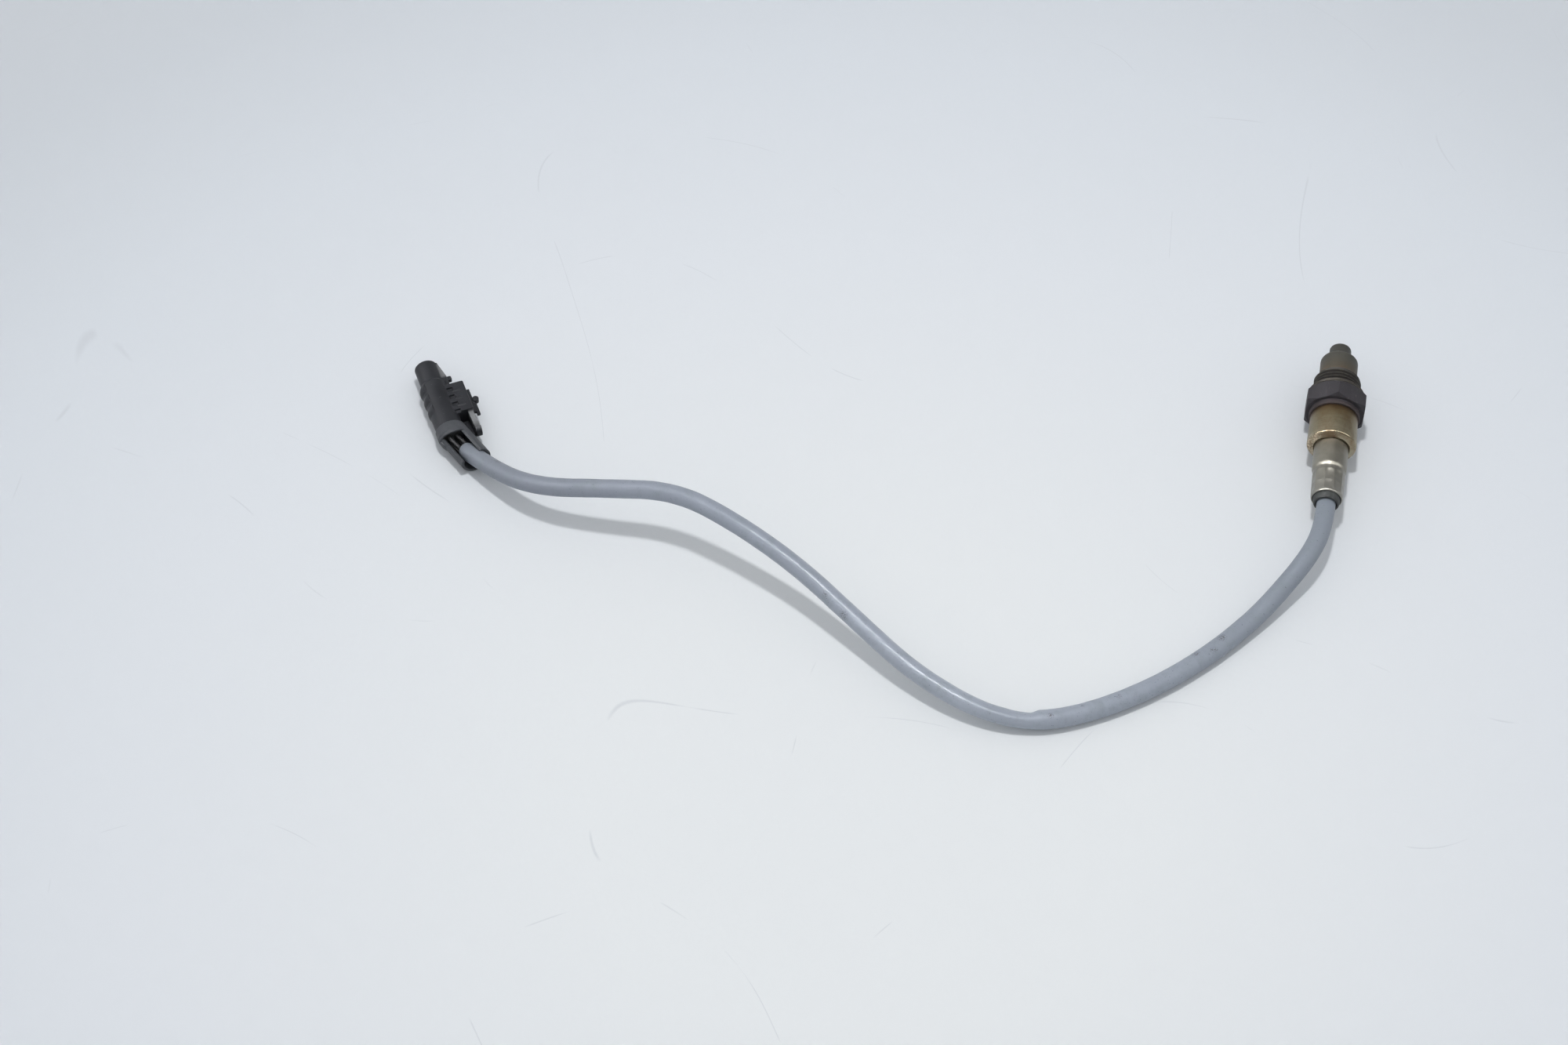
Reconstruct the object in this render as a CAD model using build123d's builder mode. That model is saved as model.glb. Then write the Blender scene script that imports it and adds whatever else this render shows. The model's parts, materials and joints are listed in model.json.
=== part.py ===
from build123d import *
from math import cos, degrees, pi, radians, sin, tan
import os

# Heated oxygen sensor for an exhaust pipe, with its sleeved lead and sealed plug, in millimetres.
# The sensor's axis is +Y with the tip forward, and +Z is up. The origin is where that axis meets
# the sealing face of the gasket. The sensor lies on a corner of its hexagon, and its lead runs
# over the same surface to the plug.

os.makedirs("parts", exist_ok=True)

# ------------------------------------------------------------------ fits
SLIP = 0.05  # radial clearance of pieces that are pushed into each other
PASS = 0.10  # radial clearance round a wire or the lead's sleeve
SIDES = (-1, 1)

# ------------------------------------------------------------------ housing
THREAD_R = 9.0
THREAD_LENGTH = 6.2
THREAD_TAPER = 1.2
THREAD_NOSE_R = 8.1
RELIEF_R = 8.2
GASKET_CLEAR = 0.2
GASKET_WIDE = 2.5
GASKET_THICK = 1.8
GASKET_ROUND = 0.7
HEX_SIDES = 6
HEX_ACROSS = 22.0
HEX_THICK = 8.0
HEX_FACE_R = 10.9
HEX_FRONT_CHAMFER = 45
HEX_REAR_CHAMFER = 30
COLLAR_R = 9.6
COLLAR_LENGTH = 2.0
COLLAR_ROUND = 0.5
SPIGOT_LENGTH = 4.0
BUSH_BORE_R = 6.5
GAS_BORE_R = 3.6

hex_corner_r = HEX_ACROSS / 2 / cos(pi / HEX_SIDES)
gasket_bore_r = RELIEF_R + GASKET_CLEAR
thread_front = THREAD_LENGTH + THREAD_TAPER
hex_front = -GASKET_THICK
hex_rear = hex_front - HEX_THICK
collar_rear = hex_rear - COLLAR_LENGTH
spigot_rear = collar_rear - SPIGOT_LENGTH
floor_z = -hex_corner_r

# ------------------------------------------------------------------ protection tubes
TUBE_R = 7.15
TUBE_WALL = 0.5
TUBE_SEAT = 3.0
TUBE_REACH = 10.0
TUBE_ROUND = 2.0
TIP_R = 4.15
TIP_REACH = 6.2
TIP_ROUND = 1.3
TIP_HOLE_R = 1.2
GAS_HOLE_R = 0.8
GAS_HOLES = 8
LINER_R = 5.9
LINER_WALL = 0.4
LINER_REACH = 7.0
LINER_ROUND = 1.2
LINER_HOLE_R = 0.9
LINER_HOLES = 6
FLANGE_THICK = 0.5

tube_seat = thread_front - TUBE_SEAT
tube_rear = tube_seat + FLANGE_THICK
tube_front = thread_front + TUBE_REACH
tip_front = tube_front + TIP_REACH
liner_front = thread_front + LINER_REACH

# ------------------------------------------------------------------ element and its packing
ELEMENT_WIDTH = 3.9
ELEMENT_THICK = 1.5
ELEMENT_TIP_GAP = 1.2
FRONT_BUSH_LENGTH = 5.0
TALC_LENGTH = 4.0
REAR_BUSH_LENGTH = 4.2
BUSH_NOSE_R = 5.0
PACKING_RING_THICK = 1.2

front_bush_rear = -FRONT_BUSH_LENGTH
talc_rear = front_bush_rear - TALC_LENGTH
rear_bush_shoulder = talc_rear - REAR_BUSH_LENGTH
holder_front = spigot_rear - SLIP * 4

# ------------------------------------------------------------------ rear of the sensor
SLEEVE_R = 9.0
SLEEVE_FLARE = 0.4
SLEEVE_WALL = 0.6
SLEEVE_LENGTH = 13.8
SLEEVE_EDGE_ROUND = 0.6
LIP_R = 6.95
LIP_DROP = 1.1
LIP_ROUND = 0.25
HOLDER_R = 7.5
HOLDER_LENGTH = 7.3
HOLDER_WINDOW = (5.2, 6.0)
HOLDER_LAND = 1.5
CLIP_LENGTH = 3.0
DISC_SPRING_BORE_R = 5.6
DISC_SPRING_THICK = 0.5
TAIL_R = 6.5
TAIL_WALL = 0.5
TAIL_LENGTH = 11.8
TAIL_TAPER = 2.8
CRIMP_R = 6.1
CRIMP_NECK = 1.0
CRIMP_COUNT = 10
CRIMP_ROWS = ((5.2, 5.75), (3.8, 5.7))
CRIMP_RIDGE = 0.4
TAIL_END = 1.3
TAIL_END_ROUND = 0.35
GROMMET_R = 5.2
GROMMET_BURIED = 10.0
GROMMET_STAND_OUT = 2.5
GROMMET_END_R = 4.75
GROMMET_ROUND = 0.5
GROMMET_SOCKET = 2.0

sleeve_bore_r = SLEEVE_R - SLEEVE_WALL
spigot_r = sleeve_bore_r - SLIP
sleeve_rear = collar_rear - SLEEVE_LENGTH
sleeve_floor = sleeve_rear + SLEEVE_WALL
lip_rear = sleeve_rear - LIP_DROP
tail_flange_front = sleeve_floor + FLANGE_THICK
holder_rear = holder_front - HOLDER_LENGTH
element_rear = holder_rear
tail_shoulder = sleeve_floor - TAIL_LENGTH
taper_rear = tail_shoulder - TAIL_TAPER
crimp_front = taper_rear - CRIMP_NECK
crimp_length = sum(length for length, flat in CRIMP_ROWS) + CRIMP_RIDGE * (len(CRIMP_ROWS) - 1)
tail_rear = crimp_front - crimp_length - TAIL_END
grommet_front = tail_rear + GROMMET_BURIED
grommet_rear = tail_rear - GROMMET_STAND_OUT

# ------------------------------------------------------------------ contacts and wires
WIRE_R = 0.8
WIRE_PITCH = 3.5
SPRING_WIDTH = 1.3
SPRING_THICK = 0.3
SPRING_PITCH = 1.9
SPRING_LEAD_IN = 0.7
BARREL_R = 1.05
BARREL_LENGTH = 3.5
BARREL_GAP = 1.5

barrel_front = tail_flange_front - BARREL_GAP
barrel_rear = barrel_front - BARREL_LENGTH
wire_at = WIRE_PITCH / 2

# ------------------------------------------------------------------ lead
LEAD_R = 3.6
LEAD_CORNER = 0.45  # share of the shorter run that each bend takes
LEAD_STRAIGHT = 12.2  # along the sensor's axis, before the route starts
LEAD_ROUTE = [  # x, y and how far the underside is lifted off the surface
    (-4.0, -77.5, 8.1),
    (-11.5, -90.0, 4.6),
    (-20.5, -103.5, 1.1),
    (-35.5, -122.5, 0.0),
    (-54.5, -141.0, 0.0),
    (-76.5, -156.0, 0.0),
    (-97.0, -164.0, 0.6),
    (-118.0, -162.5, 3.1),
    (-141.5, -152.0, 5.6),
    (-164.5, -135.5, 9.6),
    (-188.0, -119.0, 14.6),
    (-213.5, -106.0, 19.1),
    (-238.0, -96.5, 21.1),
    (-265.0, -97.5, 18.1),
    (-288.5, -96.5, 12.6),
    (-307.5, -87.5, 5.7),
    (-323.6, -75.0, 1.8),
]

# ------------------------------------------------------------------ plug
PLUG_AT = (-347.6, -38.0)
PLUG_HEADING = 29.5  # how far the plug's snout turns left of +Y
PLUG_SNOUT_R = 4.4
PLUG_SNOUT = 9.9
PLUG_BORE_R = 3.5
PLUG_EDGE = 0.5
PLUG_BODY_R = 5.3
PLUG_BODY = 23.5
PLUG_STEP = 1.2
PLUG_SPIGOT_R = 4.7
PLUG_SPIGOT = 4.0
GRIP_COUNT = 3
GRIP_PITCH = 5.4
GRIP_FIRST = 13.1
GRIP_HEIGHT = 0.5
GRIP_SINK = 0.5
GRIP_SWEEP = 100
RAMP_HALF = 2.4
RAMP_END = (6.1, 8.9)
BLOCK_FROM = 14.5
BLOCK_LENGTH = 14.5
BLOCK_REACH = 11.0
BLOCK_HALF = 4.2
BLOCK_ROUND = 0.7
POCKET_COUNT = 4
POCKET_PITCH = 3.75
POCKET_LENGTH = 1.9
POCKET_FIRST = 17.4
POCKET_SPAN = (3.8, 6.2)
POCKET_DEPTH = 0.9
RAIL_THICK = 1.6
RAIL_FROM = 16.6
RAIL_HALF = 0.7
TAB_THICK = 1.3
TAB_STEP = 0.7
TAB_SPAN = (24.2, 29.8)
KNOB_R = 1.25
KNOB_AT = (13.5, 22.3)
KNOB_HALF = 1.1
LEVER_THICK = 2.0
LEVER_OFFSET = 8.6
LEVER_SPLAY = 0.5
LEVER_HALF = 2.6
LEVER_END = 39.1
LEVER_ROUND = 2.4
GUARD_THICK = 1.2
GUARD_GAP = 0.4
GUARD_REACH = 4.4
GUARD_END = 36.5
FOOT_LENGTH = 2.4
FOOT_STEP = 0.2
NUB = (5.0, 7.9)
NUB_SPAN = (7.9, 9.9)
NUB_HALF = 0.9
TERMINAL_R = 0.75
TERMINAL_BORE_R = 0.4
TERMINAL_BORE = 6.0
TERMINAL_FROM = 2.5
TERMINAL_LENGTH = 22.0
TERMINAL_PITCH = 3.0
HOLDER_FACE = 1.0
HOLDER_DEPTH = 9.0
RETAINER_THICK = 1.5
SEAL_BORE_R = 3.9
SEAL_DEPTH = 7.0
SEAL_LENGTH = 4.5

plug_shoulder = PLUG_SNOUT + PLUG_STEP
plug_body_rear = PLUG_SNOUT + PLUG_BODY
plug_rear = plug_body_rear + PLUG_SPIGOT
seal_front = plug_rear - SEAL_DEPTH
terminal_rear = TERMINAL_FROM + TERMINAL_LENGTH

# ------------------------------------------------------------------ plug's rear hood
HOOD_R = 5.85
HOOD_WALL = 1.1
HOOD_COLLAR_R = 5.75
HOOD_BALL_R = 5.5
HOOD_BEND = 17
HOOD_ASIDE = 1.0
HOOD_RUN_IN = 3.0
HOOD_LENGTH = 14.3
HOOD_END_SLANT = 10
HOOD_TILT = 27  # how far the open side turns from straight up, away from the latch
HOOD_OPEN = 3.45
HOOD_MOUTH = (-1.0, 3.0)  # where the open side starts, at its left and at its right

plug_axis_z = floor_z + max(HOOD_R, HOOD_COLLAR_R, PLUG_BODY_R)
plug_forward = Vector(-sin(radians(PLUG_HEADING)), cos(radians(PLUG_HEADING)), 0)
plug_aside = Vector(cos(radians(PLUG_HEADING)), sin(radians(PLUG_HEADING)), 0)
plug_origin = Vector(PLUG_AT[0], PLUG_AT[1], plug_axis_z)
plug_axis = Axis(plug_origin, -plug_forward)
plug_plan = Plane(plug_origin, x_dir=plug_aside, z_dir=(0, 0, -1))
plug_cross = Plane(plug_origin, x_dir=plug_aside, z_dir=-plug_forward)
hood_turn = radians(HOOD_BEND)
hood_origin = plug_cross.offset(plug_rear).origin
hood_rearward = plug_aside * sin(hood_turn) - plug_forward * cos(hood_turn)
hood_aside = plug_aside * cos(hood_turn) + plug_forward * sin(hood_turn)
hood_cross = Plane(hood_origin, x_dir=hood_aside, z_dir=hood_rearward)
hood_middle = hood_cross.from_local_coords(Vector(HOOD_ASIDE, 0, 0))
hood_open = Vector(0, 0, 1) * cos(radians(HOOD_TILT)) - hood_aside * sin(radians(HOOD_TILT))
hood_across = hood_open.cross(hood_rearward)
hood_mouth = Plane(hood_middle + hood_open * HOOD_OPEN, x_dir=hood_across, z_dir=hood_open)
hood_end_turn = radians(HOOD_BEND - HOOD_END_SLANT)
hood_end_facing = plug_aside * sin(hood_end_turn) - plug_forward * cos(hood_end_turn)
hood_end = Plane(hood_middle + hood_rearward * HOOD_LENGTH, z_dir=hood_end_facing)


def across(y):
    """The plane across the sensor's axis at y, seen from the rear, with X right and Z up."""
    return Plane.XZ.offset(-y)


def corners(pitch):
    """The four places of a square pattern of wires or terminals."""
    return GridLocations(pitch, pitch, 2, 2)


# ================================================================== sensor, from tip to tail

with BuildPart() as sensor_housing:
    with BuildSketch(across(hex_front)):
        RegularPolygon(HEX_ACROSS / 2, HEX_SIDES, major_radius=False, rotation=degrees(pi / HEX_SIDES))
    extrude(amount=HEX_THICK)
    with BuildSketch():
        front_depth = (hex_corner_r - HEX_FACE_R) * tan(radians(HEX_FRONT_CHAMFER))
        rear_depth = (hex_corner_r - HEX_FACE_R) * tan(radians(HEX_REAR_CHAMFER))
        with BuildLine():
            Polyline(
                (0, hex_front),
                (HEX_FACE_R, hex_front),
                (hex_corner_r, hex_front - front_depth),
                (hex_corner_r, hex_rear + rear_depth),
                (HEX_FACE_R, hex_rear),
                (0, hex_rear),
                close=True,
            )
        make_face()
    revolve(axis=Axis.Y, mode=Mode.INTERSECT)
    with BuildSketch():
        with BuildLine():
            Polyline(
                (0, thread_front),
                (THREAD_NOSE_R, thread_front),
                (THREAD_R, THREAD_LENGTH),
                (THREAD_R, 0),
                (RELIEF_R, 0),
                (RELIEF_R, hex_front),
                (COLLAR_R, hex_front),
                (COLLAR_R, collar_rear),
                (spigot_r, collar_rear),
                (spigot_r, spigot_rear),
                (0, spigot_rear),
                close=True,
            )
        make_face()
    revolve(axis=Axis.Y)
    with BuildSketch():
        with BuildLine():
            Polyline(
                (0, thread_front),
                (TUBE_R + SLIP, thread_front),
                (TUBE_R + SLIP, tube_seat),
                (GAS_BORE_R, tube_seat),
                (GAS_BORE_R, 0),
                (BUSH_BORE_R, 0),
                (BUSH_BORE_R, spigot_rear),
                (0, spigot_rear),
                close=True,
            )
        make_face()
    revolve(axis=Axis.Y, mode=Mode.SUBTRACT)
    collar_edge = sensor_housing.edges().filter_by(GeomType.CIRCLE).filter_by(
        lambda edge: abs(edge.radius - COLLAR_R) < SLIP and abs(edge.center().Y - collar_rear) < SLIP
    )
    fillet(collar_edge, COLLAR_ROUND)

with BuildPart() as gasket_ring:
    with BuildSketch(across(0)):
        Circle(gasket_bore_r + GASKET_WIDE)
        Circle(gasket_bore_r, mode=Mode.SUBTRACT)
    extrude(amount=GASKET_THICK)
    fillet(gasket_ring.edges().filter_by(GeomType.CIRCLE), GASKET_ROUND)

with BuildPart() as outer_protection_tube:
    with BuildSketch(across(tube_front)):
        Circle(TUBE_R)
    extrude(amount=tube_front - tube_rear)
    fillet(outer_protection_tube.edges().group_by(Axis.Y)[-1], TUBE_ROUND)
    with BuildSketch(across(tip_front)):
        Circle(TIP_R)
    extrude(amount=TIP_REACH + TUBE_ROUND)
    fillet(outer_protection_tube.edges().group_by(Axis.Y)[-1], TIP_ROUND)
    offset(amount=-TUBE_WALL, openings=outer_protection_tube.faces().sort_by(Axis.Y)[0])
    with BuildSketch(across(tube_front)):
        with PolarLocations((TIP_R + TUBE_R) / 2, GAS_HOLES):
            Circle(GAS_HOLE_R)
    extrude(amount=TUBE_ROUND, mode=Mode.SUBTRACT)
    with BuildSketch(across(tip_front)):
        Circle(TIP_HOLE_R)
    extrude(amount=TIP_ROUND, mode=Mode.SUBTRACT)

with BuildPart() as inner_protection_tube:
    with BuildSketch(across(liner_front)):
        Circle(LINER_R)
    extrude(amount=liner_front - tube_seat)
    fillet(inner_protection_tube.edges().group_by(Axis.Y)[-1], LINER_ROUND)
    offset(amount=-LINER_WALL, openings=inner_protection_tube.faces().sort_by(Axis.Y)[0])
    with BuildSketch(across(tube_rear)):
        Circle(TUBE_R)
        Circle(LINER_R - LINER_WALL, mode=Mode.SUBTRACT)
    extrude(amount=FLANGE_THICK)
    with BuildSketch(across(liner_front)):
        Circle(LINER_HOLE_R)
    extrude(amount=LINER_ROUND, mode=Mode.SUBTRACT)
    liner_hole_at = Plane(origin=(0, (thread_front + liner_front) / 2, 0), z_dir=(0, 1, 0))
    with BuildSketch(liner_hole_at.offset(-LINER_HOLE_R)):
        with PolarLocations(LINER_R, LINER_HOLES):
            Rectangle(LINER_WALL * 4, LINER_HOLE_R * 2)
    extrude(amount=LINER_HOLE_R * 2, mode=Mode.SUBTRACT)

with BuildPart() as sensing_element:
    with BuildSketch(across(liner_front - LINER_WALL - ELEMENT_TIP_GAP)):
        Rectangle(ELEMENT_WIDTH, ELEMENT_THICK)
    extrude(amount=liner_front - LINER_WALL - ELEMENT_TIP_GAP - element_rear)
    chamfer(sensing_element.edges().filter_by(Axis.Y), SLIP * 4)


def element_slot():
    """The slot that lets the flat element through a bush."""
    Rectangle(ELEMENT_WIDTH + SLIP * 2, ELEMENT_THICK + SLIP * 2, mode=Mode.SUBTRACT)


with BuildPart() as front_ceramic_bush:
    with BuildSketch(across(0)):
        Circle(BUSH_BORE_R - SLIP)
        element_slot()
    extrude(amount=FRONT_BUSH_LENGTH)

with BuildPart() as talc_packing:
    with BuildSketch(across(front_bush_rear)):
        Circle(BUSH_BORE_R - SLIP)
        element_slot()
    extrude(amount=TALC_LENGTH)

with BuildPart() as rear_ceramic_bush:
    with BuildSketch(across(talc_rear)):
        Circle(BUSH_BORE_R - SLIP)
        element_slot()
    extrude(amount=REAR_BUSH_LENGTH)
    with BuildSketch(across(rear_bush_shoulder)):
        Circle(BUSH_NOSE_R)
        element_slot()
    extrude(amount=rear_bush_shoulder - holder_front)

with BuildPart() as packing_ring:
    with BuildSketch(across(rear_bush_shoulder)):
        Circle(BUSH_BORE_R - SLIP)
        Circle(BUSH_NOSE_R + SLIP, mode=Mode.SUBTRACT)
    extrude(amount=PACKING_RING_THICK)

with BuildPart() as protective_sleeve:
    with BuildSketch():
        with BuildLine():
            Polyline(
                (sleeve_bore_r, collar_rear),
                (SLEEVE_R, collar_rear),
                (SLEEVE_R + SLEEVE_FLARE, sleeve_rear),
                (LIP_R, lip_rear),
                (TAIL_R + SLIP, lip_rear),
                (TAIL_R + SLIP, sleeve_floor),
                (sleeve_bore_r, sleeve_floor),
                close=True,
            )
        make_face()
    revolve(axis=Axis.Y)
    rims = protective_sleeve.edges().filter_by(GeomType.CIRCLE)
    fillet(rims.filter_by(lambda rim: abs(rim.center().Y - sleeve_rear) < SLIP), SLEEVE_EDGE_ROUND)
    rims = protective_sleeve.edges().filter_by(GeomType.CIRCLE)
    fillet(rims.group_by(Axis.Y)[0].sort_by(SortBy.RADIUS)[-1], LIP_ROUND)

with BuildPart() as contact_holder:
    with BuildSketch(across(holder_front)):
        Circle(HOLDER_R)
        element_slot()
    extrude(amount=HOLDER_LENGTH)
    with BuildSketch(across(holder_front - HOLDER_LAND)):
        Rectangle(*HOLDER_WINDOW)
    extrude(amount=HOLDER_LENGTH - HOLDER_LAND, mode=Mode.SUBTRACT)

with BuildPart() as holder_clip:
    with BuildSketch(across(holder_front - HOLDER_LAND)):
        Circle(sleeve_bore_r - SLIP)
        Circle(HOLDER_R + SLIP, mode=Mode.SUBTRACT)
        Rectangle(sleeve_bore_r * 2, HOLDER_LAND, mode=Mode.SUBTRACT, align=(Align.MIN, Align.CENTER))
    extrude(amount=CLIP_LENGTH)

with BuildPart() as disc_spring:
    with BuildSketch():
        with BuildLine():
            Polyline(
                (DISC_SPRING_BORE_R, holder_rear),
                (DISC_SPRING_BORE_R, holder_rear - DISC_SPRING_THICK),
                (sleeve_bore_r - SLIP, tail_flange_front),
                (sleeve_bore_r - SLIP, tail_flange_front + DISC_SPRING_THICK),
                close=True,
            )
        make_face()
    revolve(axis=Axis.Y)

leaf_z = ELEMENT_THICK / 2 + SPRING_THICK / 2
leaf_front = holder_front - HOLDER_LAND - SPRING_LEAD_IN
leaf_bend = (leaf_front + holder_rear) / 2
contact_springs = []
for x_side in SIDES:
    for z_side in SIDES:
        with BuildPart() as contact_spring:
            leaf_plane = Plane.YZ.offset(x_side * SPRING_PITCH / 2 - SPRING_WIDTH / 2)
            with BuildSketch(leaf_plane):
                with BuildLine() as leaf:
                    Polyline(
                        (leaf_front, z_side * (leaf_z + SPRING_LEAD_IN)),
                        (leaf_bend, z_side * leaf_z),
                        (holder_rear, z_side * wire_at),
                        (barrel_front - SPRING_THICK, z_side * wire_at),
                    )
                trace(line_width=SPRING_THICK)
            extrude(amount=SPRING_WIDTH)
            with BuildSketch(across(barrel_front)):
                with Locations((x_side * wire_at, z_side * wire_at)):
                    Circle(BARREL_R)
            extrude(amount=BARREL_LENGTH)
        contact_spring.part.label = f"contact_spring_{len(contact_springs) + 1}"
        contact_springs.append(contact_spring.part)

with BuildPart() as tail_tube:
    with BuildSketch():
        with BuildLine():
            Polyline(
                (TAIL_R, sleeve_floor),
                (sleeve_bore_r - SLIP, sleeve_floor),
                (sleeve_bore_r - SLIP, tail_flange_front),
                (TAIL_R - TAIL_WALL, tail_flange_front),
                (TAIL_R - TAIL_WALL, tail_shoulder),
                (GROMMET_R + SLIP, tail_shoulder),
                (GROMMET_R + SLIP, tail_rear),
                (CRIMP_R, tail_rear),
                (CRIMP_R, taper_rear),
            )
            TangentArc((CRIMP_R, taper_rear), (TAIL_R, tail_shoulder), tangent=(0, 1))
            Line((TAIL_R, tail_shoulder), (TAIL_R, sleeve_floor))
        make_face()
    revolve(axis=Axis.Y)
    row_front = crimp_front
    for row_length, flat_r in CRIMP_ROWS:
        with BuildSketch(across(row_front)):
            Circle(TAIL_R)
            RegularPolygon(flat_r, CRIMP_COUNT, major_radius=False, mode=Mode.SUBTRACT)
        extrude(amount=row_length, mode=Mode.SUBTRACT)
        row_front -= row_length + CRIMP_RIDGE
    rims = tail_tube.edges().filter_by(GeomType.CIRCLE).group_by(Axis.Y)[0]
    fillet(rims.sort_by(SortBy.RADIUS)[-1], TAIL_END_ROUND)

with BuildPart() as grommet:
    with BuildSketch():
        with BuildLine():
            Polyline(
                (0, grommet_front),
                (GROMMET_R, grommet_front),
                (GROMMET_R, tail_rear),
                (GROMMET_END_R, grommet_rear),
                (0, grommet_rear),
                close=True,
            )
        make_face()
    revolve(axis=Axis.Y)
    fillet(grommet.edges().group_by(Axis.Y)[0], GROMMET_ROUND)
    with BuildSketch(across(grommet_rear)):
        Circle(LEAD_R + PASS)
    extrude(amount=-GROMMET_SOCKET, mode=Mode.SUBTRACT)
    with BuildSketch(across(grommet_front)):
        with corners(WIRE_PITCH):
            Circle(WIRE_R + SLIP)
    extrude(amount=grommet_front - grommet_rear, mode=Mode.SUBTRACT)

sensor_wires = []
for place in corners(WIRE_PITCH).local_locations:
    with BuildPart() as sensor_wire:
        with BuildSketch(across(barrel_rear)):
            with Locations(place):
                Circle(WIRE_R)
        extrude(amount=barrel_rear - grommet_rear - GROMMET_SOCKET)
    sensor_wire.part.label = f"sensor_wire_{len(sensor_wires) + 1}"
    sensor_wires.append(sensor_wire.part)

# ================================================================== lead

lead_start = Vector(0, grommet_rear + GROMMET_SOCKET, 0)
lead_points = [lead_start, lead_start - Vector(0, LEAD_STRAIGHT, 0)]
lead_points += [Vector(x, y, floor_z + LEAD_R + lift) for x, y, lift in LEAD_ROUTE]
lead_runs = [after - before for before, after in zip(lead_points, lead_points[1:])]
lead_radii = [
    LEAD_CORNER * min(run.length, following.length) / tan(radians(run.get_angle(following) / 2))
    for run, following in zip(lead_runs, lead_runs[1:])
]
print("lead radii", [round(radius, 1) for radius in lead_radii])

with BuildPart() as lead_sleeve:
    with BuildLine() as lead_path:
        FilletPolyline(*lead_points, radius=lead_radii)
    with BuildSketch(Plane(lead_points[0], z_dir=lead_runs[0])):
        Circle(LEAD_R)
    sweep()
print("lead length", round(sum(edge.length for edge in lead_path.edges()), 1))

# ================================================================== plug

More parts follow.
